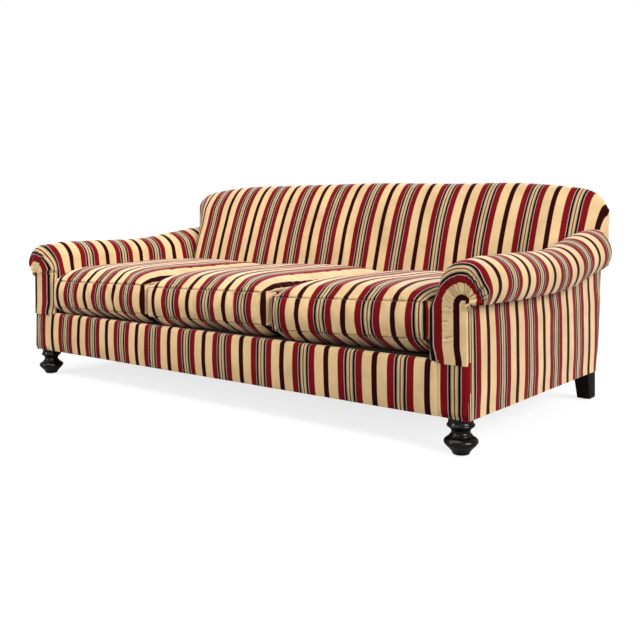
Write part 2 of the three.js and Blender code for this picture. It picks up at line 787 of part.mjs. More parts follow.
// Square rear leg, tapered and swept back
function rearLeg() {
  const low = glideHeight + clearance;
  const high = frameBottom - clearance;
  const leg = reshape(new THREE.BoxGeometry(1, 1, 1), (p) => {
    const share = p.z + 1 / 2;
    const width = THREE.MathUtils.lerp(legSoleWidth, legTopWidth, share);
    p.x = THREE.MathUtils.lerp(legSoleOffset, legTopOffset, share) + p.x * width;
    p.y = THREE.MathUtils.lerp(legSoleDepth, legTopDepth, share) + p.y * width;
    p.z = THREE.MathUtils.lerp(low, high, share);
  });
  const pinTop = glidePinHeight + clearance;
  const hole = socket(glidePinRadius, legSoleOffset, legSoleDepth, -overrun, pinTop);
  return geometryOf(solidOf(leg).subtract(hole));
}

function addFeet() {
  const foot = frontFoot();
  const stud = bar(studRadius, 0, 0, studLow, studHigh);
  for (const [side, sign] of [["right", 1], ["left", -1]]) {
    piece(frame, "front_foot_" + side, foot, ebonised).position.set(sign * footOffset, footDepth, 0);
    piece(frame, "foot_stud_" + side, stud, steel).position.set(sign * footOffset, footDepth, 0);
    piece(frame, "front_glide_" + side, glide(), nylon).position.set(sign * footOffset, footDepth, 0);
    piece(frame, "rear_glide_" + side, glide(), nylon).position.set(sign * legSoleOffset, legSoleDepth, 0);
  }
  pair(frame, "rear_leg", rearLeg(), ebonised);
}

// Suspension

const springFront = frameFront + stripInset + stripWidth / 2;
const springRear = rearPlane(railTop) - backSkin - railThickness + stripWidth / 2;

// Height of the springs' axis at a depth
function springHeight(depth) {
  const share = THREE.MathUtils.clamp((depth - springFront) / (springRear - springFront), 0, 1);
  return springSeat + springCrown * Math.sin(Math.PI * share);
}

// One zigzag spring wire, running from front to back at x = 0
function springWire() {
  const points = [];
  const steps = springHalfLoops * springStepsPerLoop;
  for (let i = 0; i <= steps; i++) {
    const depth = THREE.MathUtils.lerp(springFront, springRear, i / steps);
    const x = springAmplitude * Math.sin((Math.PI * i) / springStepsPerLoop);
    points.push(new THREE.Vector3(x, depth, springHeight(depth)));
  }
  const section = new THREE.Shape();
  section.moveTo(wireRadius, 0);
  for (let i = 1; i < wireSides; i++) {
    const angle = (2 * Math.PI * i) / wireSides;
    section.lineTo(wireRadius * Math.cos(angle), wireRadius * Math.sin(angle));
  }
  const options = { steps, extrudePath: new THREE.CatmullRomCurve3(points), bevelEnabled: false };
  return new THREE.ExtrudeGeometry(section, options);
}

// The springs of one seat with the two wires that tie them across
function springUnit() {
  const reach = (springSpacing * (springsPerSeat - 1)) / 2;
  const wire = springWire();
  let unit = null;
  for (let i = 0; i < springsPerSeat; i++) {
    const spring = solidOf(wire.clone().translate(i * springSpacing - reach, 0, 0));
    unit = unit ? unit.add(spring) : spring;
  }
  for (const share of [1 / 3, 2 / 3]) {
    const depth = THREE.MathUtils.lerp(springFront, springRear, share);
    const length = 2 * (reach + springAmplitude);
    const tie = new THREE.CylinderGeometry(tieRadius, tieRadius, length, wireSides + 1);
    tie.rotateZ(Math.PI / 2);
    unit = unit.add(solidOf(tie.translate(0, depth, springHeight(depth))));
  }
  return geometryOf(unit);
}

// A sheet that follows the springs' crown
function crownedSheet(lift, thickness) {
  const front = facingThickness + borderReturn + deckFrontGap;
  const rear = rearPlane(railTop) - backPostFace - deckFrontGap;
  const lower = [];
  for (let i = 0; i <= deckSteps; i++) {
    const depth = THREE.MathUtils.lerp(front, rear, i / deckSteps);
    lower.push(new THREE.Vector2(depth, springHeight(depth) + wireRadius + lift));
  }
  const upper = lower.map((p) => new THREE.Vector2(p.x, p.y + thickness)).reverse();
  const end = armInner - deckSideGap;
  return alongX([...lower, ...upper], -end, end);
}

function addSuspension() {
  const end = armInner - deckSideGap;
  const stripTop = railTop + stripThickness;
  const half = stripWidth / 2;
  for (const [name, depth] of [["front_spring_strip", springFront], ["rear_spring_strip", springRear]])
    piece(suspension, name, block(-end, end, depth - half, depth + half, railTop, stripTop), steel);
  ["left", "middle", "right"].forEach((side, i) => {
    const x = (i - (seatCount - 1) / 2) * cushionPitch;
    piece(suspension, "spring_unit_" + side, springUnit(), steel).position.set(x, 0, 0);
  });
  const deckLift = clearance + insulatorThickness + clearance;
  piece(suspension, "deck_insulator", crownedSheet(clearance, insulatorThickness), felt);
  piece(suspension, "deck_cover", crownedSheet(deckLift, deckThickness), canvas);
  let web = null;
  const near = backPostFace + clearance;
  const far = near + webThickness;
  const bottom = lowerRailLow + smallTenonInset;
  for (let i = 0; i < webColumns; i++) {
    const x = (i - (webColumns - 1) / 2) * webSpacing;
    const strap = rakedSlab(x - webWidth / 2, x + webWidth / 2, bottom, backPostTop - smallTenonInset, far, near);
    web = web ? web.add(solidOf(strap)) : solidOf(strap);
  }
  const side = frameOuter - webEndInset;
  for (let i = 0; i < webRows; i++) {
    const z = webRowLow + i * webRowSpacing;
    web = web.add(solidOf(rakedSlab(-side, side, z - webWidth / 2, z + webWidth / 2, far, near)));
  }
  piece(suspension, "back_webbing", geometryOf(web), jute);
}

// Covers

function dustCover() {
  const edge = sideRailInner + dustCoverOverlap;
  const front = railRear - dustCoverOverlap;
  const rear = rearPlane(frameBottom) - backSkin - dustCoverOverlap;
  const top = frameBottom - clearance;
  const low = top - dustCoverThickness;
  const legRoom = legTopWidth / 2 + clearance;
  let sheet = solidOf(block(-edge, edge, front, rear, low, top));
  for (const sign of [1, -1]) {
    const leg = block(
      sign * legTopOffset - legRoom, sign * legTopOffset + legRoom,
      legTopDepth - legRoom, rear + overrun, low - overrun, top + overrun,
    );
    const spigot = socket(footSpigotRadius, sign * footOffset, footDepth, low - overrun, top + overrun);
    sheet = sheet.subtract(solidOf(leg)).subtract(spigot);
  }
  return geometryOf(sheet);
}

function addUpholstery() {
  pair(upholstery, "arm_pad", geometryOf(armPadSolid(backSolid(clearance))), stripedVelvet);
  pair(upholstery, "arm_facing", armFacing(), stripedVelvet);
  pair(upholstery, "outside_arm", geometryOf(outsideArm()), stripedVelvet);
  piece(upholstery, "front_border", frontBorder(), stripedVelvet);
  piece(upholstery, "back_pad", geometryOf(backPad()), stripedVelvet);
  piece(upholstery, "outside_back", outsideBack(), stripedVelvet);
  piece(upholstery, "dust_cover", dustCover(), dustCloth);
}

// Cushions, each made about x = 0

// A crowned box with drawn-in sides, rounded corners and a bulging front border
function cushionForm(inset, { across, along, up }) {
  const halfWidth = cushionWidth / 2 - inset;
  const halfDepth = (cushionRear - cushionFront) / 2 - inset;
  const middleDepth = (cushionRear + cushionFront) / 2;
  const halfHeight = (cushionSeamHigh - cushionSeamLow) / 2 - inset;
  const middleHeight = (cushionSeamHigh + cushionSeamLow) / 2;
  const sag = cushionSeamLow - deckCrest() - clearance;
  return reshape(new THREE.BoxGeometry(2, 2, 2, across, along, up), (p) => {
    const { x: u, y: v, z: w } = p;
    const corner = 1 - cushionCornerShare * (u * v) ** 6;
    const dome = (1 - Math.abs(u) ** 3) * (1 - Math.abs(v) ** 3);
    const bulge = cushionFrontBulge * (1 - w * w) * (1 - u ** 6) * THREE.MathUtils.clamp(-v, 0, 1) ** 6;
    p.x = u * (halfWidth - cushionDrawIn * (1 - v * v)) * corner;
    p.z = middleHeight + w * halfHeight + dome * (w > 0 ? cushionCrown : -sag) * Math.abs(w);
    const lean = cushionLeanShare * (p.z - cushionSeamLow) * ((v + 1) / 2) * (1 - dome);
    p.y = middleDepth + v * (halfDepth - cushionDrawIn * (1 - u * u)) * corner - bulge + lean;
  });
}

// Highest line of the deck, which the cushions rest on
function deckCrest() {
  const springTop = springSeat + springCrown + wireRadius;
  return springTop + clearance + insulatorThickness + clearance + deckThickness;
}

// The zip closes a slit in the casing's rear border and lies between the filling and the border's face
function zipBlock(room, reach) {
  const low = (cushionSeamLow + cushionSeamHigh - zipHeight) / 2;
  const high = low + zipHeight;
  const lean = (height) => cushionLeanShare * (height - cushionSeamLow);
  const front = cushionRear - cushionWall + lean(high) + clearance;
  const rear = cushionRear - cushionDrawIn + lean(low);
  const half = zipLength / 2 + room;
  return block(-half, half, front - reach, rear + reach, low - room, high + room);
}

function addCushions() {
  const room = solidOf(cushionForm(cushionWall, fillingSegments));
  const casing = solidOf(cushionForm(0, casingSegments))
    .subtract(room)
    .subtract(solidOf(zipBlock(clearance, cushionWall + overrun)));
  const filling = cushionForm(cushionWall + clearance, fillingSegments);
  ["left", "middle", "right"].forEach((side, i) => {
    const x = (i - (seatCount - 1) / 2) * cushionPitch;
    piece(cushions, "cushion_casing_" + side, geometryOf(casing), stripedVelvet).position.set(x, 0, 0);
    piece(cushions, "cushion_filling_" + side, filling, feathers).position.set(x, 0, 0);
    piece(cushions, "cushion_zip_" + side, zipBlock(0, 0), steel).position.set(x, 0, 0);
  });
}

addSeatFrame();
addBackRails();
addBackPosts();
addCornerBlocks();
addArmFrames();
addFeet();
addSuspension();
addUpholstery();
addCushions();

// The sofa's own origin: on the floor, under the middle of its outer box
const sofa = new THREE.Group();
sofa.add(frame, suspension, upholstery, cushions);
const bounds = new THREE.Box3().setFromObject(sofa, true);
const middle = bounds.getCenter(new THREE.Vector3());
sofa.position.set(-middle.x, -middle.y, -bounds.min.z);
const model = new THREE.Group();
model.add(sofa);

export default model;
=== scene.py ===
import json
import math

import bmesh
import bpy
import numpy as np
from mathutils import Matrix, Vector, noise


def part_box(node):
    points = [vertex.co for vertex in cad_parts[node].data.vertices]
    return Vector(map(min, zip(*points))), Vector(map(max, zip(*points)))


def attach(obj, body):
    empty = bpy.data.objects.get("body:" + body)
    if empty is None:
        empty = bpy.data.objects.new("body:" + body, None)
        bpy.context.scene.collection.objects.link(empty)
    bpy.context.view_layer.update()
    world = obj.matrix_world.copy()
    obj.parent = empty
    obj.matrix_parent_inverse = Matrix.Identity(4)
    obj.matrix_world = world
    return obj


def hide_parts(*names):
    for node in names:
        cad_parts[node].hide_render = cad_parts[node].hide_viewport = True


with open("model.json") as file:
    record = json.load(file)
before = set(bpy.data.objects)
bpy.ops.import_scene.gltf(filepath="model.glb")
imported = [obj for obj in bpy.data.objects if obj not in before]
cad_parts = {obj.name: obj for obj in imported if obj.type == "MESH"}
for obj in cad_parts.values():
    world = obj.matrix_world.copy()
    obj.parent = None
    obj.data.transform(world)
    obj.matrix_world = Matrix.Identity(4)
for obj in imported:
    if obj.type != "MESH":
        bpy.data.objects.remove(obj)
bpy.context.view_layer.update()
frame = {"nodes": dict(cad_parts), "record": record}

bl_info = {
    "name": "Roll Arm Sofa",
    "version": (1, 0, 0),
    "blender": (4, 5, 0),
    "location": "View3D > Sidebar > Sofa",
    "description": "Dresses the sofa's frame with striped velvet covers, cushions, turned feet and a studio",
    "category": "Object",
}

FRAME_BODY = "sofa_frame"
SIDES = ("left", "right")
SEATS = ("left", "middle", "right")
FRONT_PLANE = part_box("arm_facing_right")[0].y  # front of the arms, which every depth is counted from


# Sizes and colours that a user may change

def length(name, default, description):
    return bpy.props.FloatProperty(name=name, description=description, default=default, unit="LENGTH")


def tint(name, default, description):
    return bpy.props.FloatVectorProperty(name=name, description=description, subtype="COLOR", default=default)


class SofaSizes(bpy.types.PropertyGroup):
    """Lengths of the covers, in metres; depths are counted back from the arms' front"""
    seat_half: length("Seat half width", 0.996, "Middle of the sofa to the inside face of an arm")
    arm_width: length("Arm width", 0.122, "Inside face to outside face")
    cover_bottom: length("Cover bottom", 0.113, "Floor to the covers' lower edge")
    border_top: length("Border top", 0.280, "Floor to the top of the front border")
    shoulder: length("Arm shoulder", 0.433, "Height where the inside arm turns out")
    roll_radius: length("Roll radius", 0.082, "Radius of the arm's roll")
    roll_offset: length("Roll offset", 0.105, "Inside face to the roll's centre")
    roll_height: length("Roll height", 0.503, "Floor to the roll's centre")
    roll_underside: length("Roll underside", 0.446, "Floor to the seam under the roll")
    roll_rise: length("Roll rise", 0.060, "How far the roll climbs towards the back")
    rise_start: length("Rise start", 0.55, "Depth where the roll starts to climb")
    rise_end: length("Rise end", 1.0, "Depth where the climb ends")
    cover_depth: length("Cover depth", 0.961, "Arm front to the back's rear face, at the covers' lower edge")
    back_half: length("Back half width", 1.148, "Middle of the sofa to the back's end")
    back_foot: length("Back foot", 0.774, "Depth of the back's front face behind the cushions")
    back_bottom: length("Back bottom", 0.290, "Floor to the back pad's lower edge")
    back_shoulder_depth: length("Back shoulder depth", 0.920, "Depth where the back starts to roll over")
    back_shoulder_height: length("Back shoulder height", 0.757, "Height where the back starts to roll over")
    bevel_run: length("Turned end", 0.203, "Width over which the back's face turns back at each end")
    bevel_ease: length("Start of the turn", 0.060, "Width over which the face starts to turn")
    back_crest_depth: length("Back crest", 1.024, "Depth of the back's highest line")
    overall_height: length("Overall height", 0.855, "Floor to the top of the back")
    cushion_pitch: length("Cushion pitch", 0.664, "Middle to middle of the seat cushions")
    cushion_gap: length("Cushion gap", 0.004, "Room between two cushions")
    cushion_front: length("Cushion front", -0.014, "Depth of the cushions' front seams")
    cushion_rear: length("Cushion rear", 0.772, "Depth of the cushions' rear seams")
    seam_low: length("Lower seam", 0.325, "Floor to the cushions' lower seam")
    seam_high: length("Upper seam", 0.446, "Floor to the cushions' upper seam")
    cover_thickness: length("Cover thickness", 0.010, "Velvet with its wadding")


class VelvetColours(bpy.types.PropertyGroup):
    """Stripes of the velvet, from one mirror line of the repeat to the other"""
    pitch: length("Repeat", 0.196, "Width of one repeat of the stripes")
    brown: tint("Dark brown", (0.022, 0.0022, 0.0026), "Narrow stripe between the gold ones")
    gold: tint("Gold", (0.590, 0.414, 0.222), "Wide stripes")
    crimson: tint("Crimson", (0.145, 0.0050, 0.0070), "Stripes beside the fine group")
    white: tint("White", (0.460, 0.310, 0.300), "Fine lines")
    black: tint("Black", (0.0060, 0.0030, 0.0022), "Stripes of the fine group")
    sage: tint("Sage", (0.230, 0.200, 0.105), "Outer edge of the cream stripes")
    cream: tint("Cream", (0.560, 0.430, 0.250), "Inner edge of the cream stripes")
    rust: tint("Rust", (0.150, 0.032, 0.014), "Middle of the fine group")


def sizes():
    return bpy.context.scene.sofa_sizes


def velvet():
    return bpy.context.scene.sofa_velvet


# Small helpers

def smoothstep(value, low, high):
    share = np.clip((np.asarray(value, float) - low) / (high - low), 0.0, 1.0)
    return share * share * (3 - 2 * share)


def lerp(low, high, share):
    return low + (high - low) * share


def bump(value, centre, width):
    """1 at the centre, falling smoothly to 0 at a width's distance"""
    return smoothstep(1 - np.abs(np.asarray(value, float) - centre) / width, 0.0, 1.0)


def grain(x, y, z):
    """Smooth noise, the same on every run"""
    flat = np.broadcast_arrays(np.asarray(x, float), np.asarray(y, float), np.asarray(z, float))
    values = [noise.noise(Vector(p)) for p in zip(*(a.ravel() for a in flat))]
    return np.array(values).reshape(flat[0].shape)


def nothing_selected():
    if bpy.context.object and bpy.context.object.mode != "OBJECT":
        bpy.ops.object.mode_set(mode="OBJECT")
    bpy.ops.object.select_all(action="DESELECT")


def only(piece):
    nothing_selected()
    bpy.context.view_layer.objects.active = piece
    piece.select_set(True)


def in_scene(name, data):
    made = bpy.data.objects.new(name, data)
    bpy.context.scene.collection.objects.link(made)
    return made


def place_in_mesh(piece):
    only(piece)
    bpy.ops.object.transform_apply(location=True, rotation=True, scale=True)


def outward(piece):
    """Merges doubles and turns all faces outwards"""
    work = bmesh.new()
    work.from_mesh(piece.data)
    bmesh.ops.remove_doubles(work, verts=work.verts, dist=0.00005)
    bmesh.ops.dissolve_degenerate(work, edges=work.edges, dist=0.00001)
    bmesh.ops.recalc_face_normals(work, faces=work.faces)
    work.to_mesh(piece.data)
    work.free()


def rounded_off(piece, angle=60):
    """Smooth shading, except over edges sharper than an angle in degrees"""
    only(piece)
    bpy.ops.object.shade_smooth_by_angle(angle=math.radians(angle))


def corner_vertices(mesh):
    """The vertex at each corner of each face"""
    corners = np.zeros(len(mesh.loops), np.int32)
    mesh.loops.foreach_get("vertex_index", corners)
    return corners


def lay_cloth(mesh, weave):
    """Gives each corner of each face its place on the cloth, in metres"""
    mesh.uv_layers.new(name="Cloth").data.foreach_set("uv", weave.ravel().astype(np.float32))


def paint_fold_shade(mesh, depth):
    """Painted shade: the velvet's material darkens the colour towards FOLD_SHADE where this is near 1"""
    seam = mesh.attributes.new("Seam", "FLOAT", "POINT")
    seam.data.foreach_set("value", np.clip(depth, 0, 1).ravel().astype(np.float32))


def cloth_grid(name, points, weave, seams=None):
    """A sheet from rows of points; weave holds each point's place on the cloth, seams how deep it lies in a
    fold or seam, which the material paints as shade
    """
    points = np.asarray(points, float)
    rows, columns = points.shape[:2]
    corners = [r * columns + c for r in range(rows - 1) for c in range(columns - 1)]
    faces = [(a, a + 1, a + columns + 1, a + columns) for a in corners]
    mesh = bpy.data.meshes.new(name)
    mesh.from_pydata(points.reshape(-1, 3).tolist(), [], faces)
    lay_cloth(mesh, np.asarray(weave, float).reshape(-1, 2)[corner_vertices(mesh)])
    if seams is not None:
        paint_fold_shade(mesh, seams)
    return in_scene(name, mesh)


def apply_modifier(piece, kind, **settings):
    only(piece)
    modifier = piece.modifiers.new(kind.title(), kind)
    for name, value in settings.items():
        setattr(modifier, name, value)
    bpy.ops.object.modifier_apply(modifier=modifier.name)


def made_up(piece, thickness, out=None):
    """Gives a sheet its thickness, behind the face that looks out"""
    outward(piece)
    faces = piece.data.polygons
    if out and faces[len(faces) // 2].normal.dot(Vector(out)) < 0:
        piece.data.flip_normals()
    apply_modifier(piece, "SOLIDIFY", thickness=thickness, offset=-1.0, use_even_offset=False, use_rim=True)
    outward(piece)
    rounded_off(piece)


def joined(*parts):
    """Points from their x, depth and height, or places on the cloth from their two lengths"""
    return np.stack(np.broadcast_arrays(*parts), -1)


def on_side(points, side):
    """Moves a form from depths behind the arms' front to the sofa, and to its side"""
    return (points + (0, FRONT_PLANE, 0)) * (1 if side == "right" else -1, 1, 1)


def dress(piece, material, slot, body, *nodes):
    """Finishes a piece: its material, the CAD nodes it stands for and the body it moves with; the slot is not
    used
    """
    piece.data.materials.clear()
    piece.data.materials.append(material)
    if nodes:
        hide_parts(*nodes)
    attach(piece, body)
    return piece


def upholster(piece, thickness, filled, out, *nodes):
    """Makes a sheet up into a striped cover of the frame"""
    made_up(piece, thickness, out)
    return dress(piece, striped_velvet(), "striped_velvet", FRAME_BODY, *nodes)


# Materials

def feed(tree, node, inputs):
    """Sets a node's inputs to values, or links them to other nodes' outputs"""
    for socket, value in inputs.items():
        if isinstance(value, bpy.types.NodeSocket):
            tree.links.new(value, node.inputs[socket])
        else:
            node.inputs[socket].default_value = value


def add_node(tree, kind, inputs, output=0, **settings):
    """Makes a node, sets it up and gives back one of its outputs"""
    node = tree.nodes.new("ShaderNode" + kind)
    for name, value in settings.items():
        setattr(node, name, value)
    feed(tree, node, inputs)
    return node.outputs[output]


def math_node(tree, operation, *values):
    return add_node(tree, "Math", dict(enumerate(values)), operation=operation)


def noise_node(tree, vector, scale, detail=2.0, roughness=0.5):
    inputs = {"Vector": vector, "Scale": scale, "Detail": detail, "Roughness": roughness}
    return add_node(tree, "TexNoise", inputs, "Fac")


def ramp_node(tree, factor, stops):
    """Colours between (place, colour) stops"""
    node = tree.nodes.new("ShaderNodeValToRGB")
    elements = node.color_ramp.elements
    for end in (0, -1):
        elements[end].position = stops[end][0]
        elements[end].color = (*stops[end][1], 1)
    for place, colour in stops[1:-1]:
        elements.new(place).color = (*colour, 1)
    feed(tree, node, {"Fac": factor})
    return node.outputs["Color"]


def mix_colour(tree, kind, factor, first, second):
    return add_node(tree, "Mix", {0: factor, 6: first, 7: second}, 2, data_type="RGBA", blend_type=kind)


def relief_node(tree, strength, distance, height):
    return add_node(tree, "Bump", {"Strength": strength, "Distance": distance, "Height": height}, "Normal")


def object_place(tree):
    return add_node(tree, "TexCoord", {}, "Object")


def made_once(make):
    """A material is made on the first call and found by its name after that"""
    def material(name, *values, **named):
        return bpy.data.materials.get(name) or make(name, *values, **named)
    return material


def striped_velvet():
    return velvet_material("striped velvet")


def blank_material(name):
    material = bpy.data.materials.new(name)
    material.use_nodes = True
    return material, material.node_tree


def surface(tree, inputs):
    feed(tree, tree.nodes["Principled BSDF"], inputs)


STRIPE_SHARES = (0.109, 0.498, 0.758, 0.782, 0.872, 0.969)  # edges, from the brown stripe's middle line
STRIPE_BLUR = 0.006  # half width of the change from one stripe to the next, as such a share
# painted shade: the colour that seams, pleat valleys, tucks and border creases are darkened towards
FOLD_SHADE = (0.030, 0.014, 0.008, 1)
SHEEN_TINT = (1.0, 0.72, 0.66, 1)


def stripe_stops(colours):
    """Stops of the stripes' colours, from the brown stripe's middle to the rust one's"""
    plain = [colours.brown, colours.gold, colours.crimson, colours.white, colours.black]
    starts = plain + [colours.sage, colours.rust]
    ends = plain + [colours.cream]
    stops = [(0.0, colours.brown)]
    for edge, before, after in zip(STRIPE_SHARES, ends, starts[1:]):
        stops += [(edge - STRIPE_BLUR, before), (edge + STRIPE_BLUR, after)]
    return stops + [(1.0, colours.rust)]


@made_once
def velvet_material(name):
    """Cut velvet: stripes across the cloth, pile bruises, a soft sheen, painted shade in folds and seams, and
    a painted sheen where the pile is seen from the side
    """
    half = velvet().pitch / 2
    material, tree = blank_material(name)
    cloth = add_node(tree, "UVMap", {}, uv_map="Cloth")
    across = add_node(tree, "SeparateXYZ", {0: cloth}, "X")
    wobble = math_node(tree, "MULTIPLY_ADD", noise_node(tree, cloth, 420.0, 1.0), 0.0012, -0.0006)
    folded = math_node(tree, "PINGPONG", math_node(tree, "ADD", across, wobble), half)
    colour = ramp_node(tree, math_node(tree, "DIVIDE", folded, half), stripe_stops(velvet()))

    bruise = noise_node(tree, object_place(tree), 9.0, 3.0, 0.55)
    bruise = ramp_node(tree, bruise, [(0.30, (0.86, 0.84, 0.83)), (0.62, (1.06, 1.05, 1.04))])
    colour = mix_colour(tree, "MULTIPLY", 1.0, colour, bruise)
    thread = add_node(tree, "Mapping", {"Vector": cloth, "Scale": (1.0, 0.06, 1.0)})
    wale = noise_node(tree, thread, 900.0, 2.0)
    threads = ramp_node(tree, wale, [(0.30, (0.94, 0.93, 0.92)), (0.70, (1.03, 1.03, 1.03))])
    colour = mix_colour(tree, "MULTIPLY", 1.0, colour, threads)
    # painted shade: the colour is darkened where a point lies in a seam, pleat valley, tuck or border crease
    painted_shade_depth = add_node(tree, "Attribute", {}, "Fac", attribute_name="Seam")
    colour = mix_colour(tree, "MIX", math_node(tree, "MULTIPLY", painted_shade_depth, 0.70), colour, FOLD_SHADE)

    # painted sheen: the colour is lightened towards grazing views, standing in for the light on the pile's
    # fibres seen from the side
    facing = add_node(tree, "LayerWeight", {"Blend": 0.5}, "Facing")
    painted_sheen_share = add_node(tree, "MapRange", {"Value": facing, "From Min": 0.40, "From Max": 1.06, "To Max": 0.80},
                      "Result", interpolation_type="SMOOTHSTEP")
    lit = add_node(tree, "Gamma", {"Color": colour, "Gamma": 0.5})

    pile = noise_node(tree, cloth, 1500.0, 2.0)
    height = math_node(tree, "ADD", pile, math_node(tree, "MULTIPLY", wale, 1.6))
    surface(tree, {
        "Base Color": mix_colour(tree, "MIX", painted_sheen_share, colour, lit),
        "Roughness": math_node(tree, "MULTIPLY_ADD", pile, 0.12, 0.74),
        "Normal": relief_node(tree, 0.22, 0.0007, height),
        "Specular IOR Level": 0.02,
        "Sheen Weight": 0.03,
        "Sheen Roughness": 0.30,
        "Sheen Tint": SHEEN_TINT,
    })
    return material


@made_once
def wood_material(name, dark, light, rough, coat=0.0, shine=0.5, scale=(1.0, 1.0, 0.08)):
    """Grain that runs along Z unless the scale says otherwise"""
    material, tree = blank_material(name)
    place = object_place(tree)
    figure = noise_node(tree, add_node(tree, "Mapping", {"Vector": place, "Scale": scale}), 130.0, 5.0, 0.6)
    surface(tree, {
        "Base Color": ramp_node(tree, figure, [(0.32, dark), (0.68, light)]),
        "Roughness": math_node(tree, "MULTIPLY_ADD", noise_node(tree, place, 24.0, 3.0), 0.14, rough),
        "Normal": relief_node(tree, 0.10, 0.0004, figure),
        "Specular IOR Level": shine,
        "Coat Weight": coat,
        "Coat Roughness": 0.07,
    })
    return material


@made_once
def spotted_material(name, scale, dark, light, rough, metallic=0.0):
    """Steel and nylon: a fine spotting in colour and roughness; dark and light are (place, colour) stops"""
    material, tree = blank_material(name)
    spots = noise_node(tree, object_place(tree), scale, 4.0)
    surface(tree, {
        "Base Color": ramp_node(tree, spots, [dark, light]),
        "Roughness": math_node(tree, "MULTIPLY_ADD", spots, 0.3, rough),
        "Metallic": metallic,
    })
    return material


@made_once
def plain_cloth(name, dark, light, threads):
    """Plain weave from two crossed sets of threads"""
    material, tree = blank_material(name)
    place = object_place(tree)
    split = add_node(tree, "SeparateXYZ", {0: place}).node.outputs
    warp, weft = (math_node(tree, "SINE", math_node(tree, "MULTIPLY", split[axis], threads)) for axis in "XY")
    spots = noise_node(tree, place, 35.0, 4.0, 0.6)
    height = math_node(tree, "MULTIPLY_ADD", math_node(tree, "MULTIPLY", warp, weft), 0.2, spots)
    surface(tree, {
        "Base Color": ramp_node(tree, height, [(0.25, dark), (0.75, light)]),
        "Normal": relief_node(tree, 0.35, 0.0006, height),
        "Roughness": 0.9,
        "Specular IOR Level": 0.2,
    })
    return material


# Forms that several pieces share; x, depth and height in metres, for the right-hand side

REAR_RAKE = 0.13  # how far the rear face leans back for each unit of height
REAR_FILLS = (0.113, 0.50)  # heights between which the outside back's cover fills out
REAR_THINS = (0.56, 0.77)  # heights between which it is drawn in again, under the rolled top
LOW_HANDLES = ((0.18, 0.32), (0.60, 0.77))  # of the back's side view, as shares of the way to its shoulder
HIGH_HANDLES = ((0.23, 0.45), (0.62, 1.0))  # and from there to its crest


def rise_at(depth):
    """How far the roll has climbed at a depth"""
    s = sizes()
    return s.roll_rise * smoothstep(depth, s.rise_start, s.rise_end)


def rear_plane(height):
    """Depth of the back's rear face, which leans back"""
    s = sizes()
    return s.cover_depth + REAR_RAKE * (np.asarray(height, float) - s.cover_bottom)


def rear_cover(height):
    """Depth of the outside back's cover, which stands a little behind the frame"""
    at_foot, fuller, thinner = 0.009, 0.013, 0.019
    stand = at_foot + fuller * smoothstep(height, *REAR_FILLS) - thinner * smoothstep(height, *REAR_THINS)
    return rear_plane(height) + stand


def bezier(points, share):
    share = np.asarray(share, float)[:, None]
    p = np.asarray(points, float)
    if len(p) == 3:
        return (1 - share) ** 2 * p[0] + 2 * (1 - share) * share * p[1] + share ** 2 * p[2]
    return ((1 - share) ** 3 * p[0] + 3 * (1 - share) ** 2 * share * p[1]
            + 3 * (1 - share) * share ** 2 * p[2] + share ** 3 * p[3])


def along_line(line):
    """Length from a line's first point to each of its points"""
    steps = np.linalg.norm(np.diff(line, axis=0), axis=1)
    return np.concatenate(([0], np.cumsum(steps)))


def back_face_line(steps_low=26, steps_high=20):
    """Side view of the back's front face, from its foot to the crest, as (depth, height)"""
    s = sizes()
    foot = np.array((s.back_foot, s.back_bottom))
    shoulder = np.array((s.back_shoulder_depth, s.back_shoulder_height))
    crest = np.array((s.back_crest_depth, s.overall_height))
    low = [foot, *(foot + (shoulder - foot) * handle for handle in LOW_HANDLES), shoulder]
    high = [shoulder, *(shoulder + (crest - shoulder) * handle for handle in HIGH_HANDLES), crest]
    lower = bezier(low, np.linspace(0, 1, steps_low))
    upper = bezier(high, np.linspace(0, 1, steps_high))
    return np.vstack((lower, upper[1:]))


def back_front_depth(height):
    line = back_face_line()
    return np.interp(height, line[:, 1], line[:, 0])


ARC_START = math.radians(165)
ARC_END = math.radians(-40)
NECK_EASE = 0.060  # length over which the inside face turns into the roll
COVER_TUCK = 0.006  # how far the arm's cover reaches below the border's top
UPRIGHT_ROWS, NECK_ROWS, ARC_ROWS, UNDER_ROWS = 40, 14, 110, 10


def scroll_rows(inset):
    """Front view of the arm from the inside bottom, over the roll, to the seam under it, as (x, height)"""
    s = sizes()
    inset = np.broadcast_to(np.asarray(inset, float), (UPRIGHT_ROWS + NECK_ROWS + ARC_ROWS + UNDER_ROWS,))
    inner = s.seat_half
    centre = np.array((inner + s.roll_offset, s.roll_height))
    start = centre + s.roll_radius * np.array((math.cos(ARC_START), math.sin(ARC_START)))
    tangent = np.array((math.sin(ARC_START), -math.cos(ARC_START)))
    handle = start - tangent * NECK_EASE
    bottom = s.border_top - COVER_TUCK
    upright = joined(inner, np.linspace(bottom, s.shoulder, UPRIGHT_ROWS))
    neck = bezier([(inner, s.shoulder), handle, start], np.linspace(0, 1, NECK_ROWS + 1))[1:]
    angles = np.linspace(ARC_START, ARC_END, ARC_ROWS + 1)[1:]
    arc = centre + s.roll_radius * joined(np.cos(angles), np.sin(angles))
    under = np.linspace(arc[-1], (inner + s.arm_width, s.roll_underside), UNDER_ROWS + 1)[1:]
    line = np.vstack((upright, neck, arc, under))
    along = np.gradient(line, axis=0)
    along /= np.linalg.norm(along, axis=1)[:, None]
    inward = joined(along[:, 1], -along[:, 0])
    return line + inward * inset[:, None]


def climbed(height, depth):
    s = sizes()
    share = np.clip((height - s.border_top) / (s.shoulder - s.border_top), 0, 1)
    return height + rise_at(depth) * share


# Rolled arms

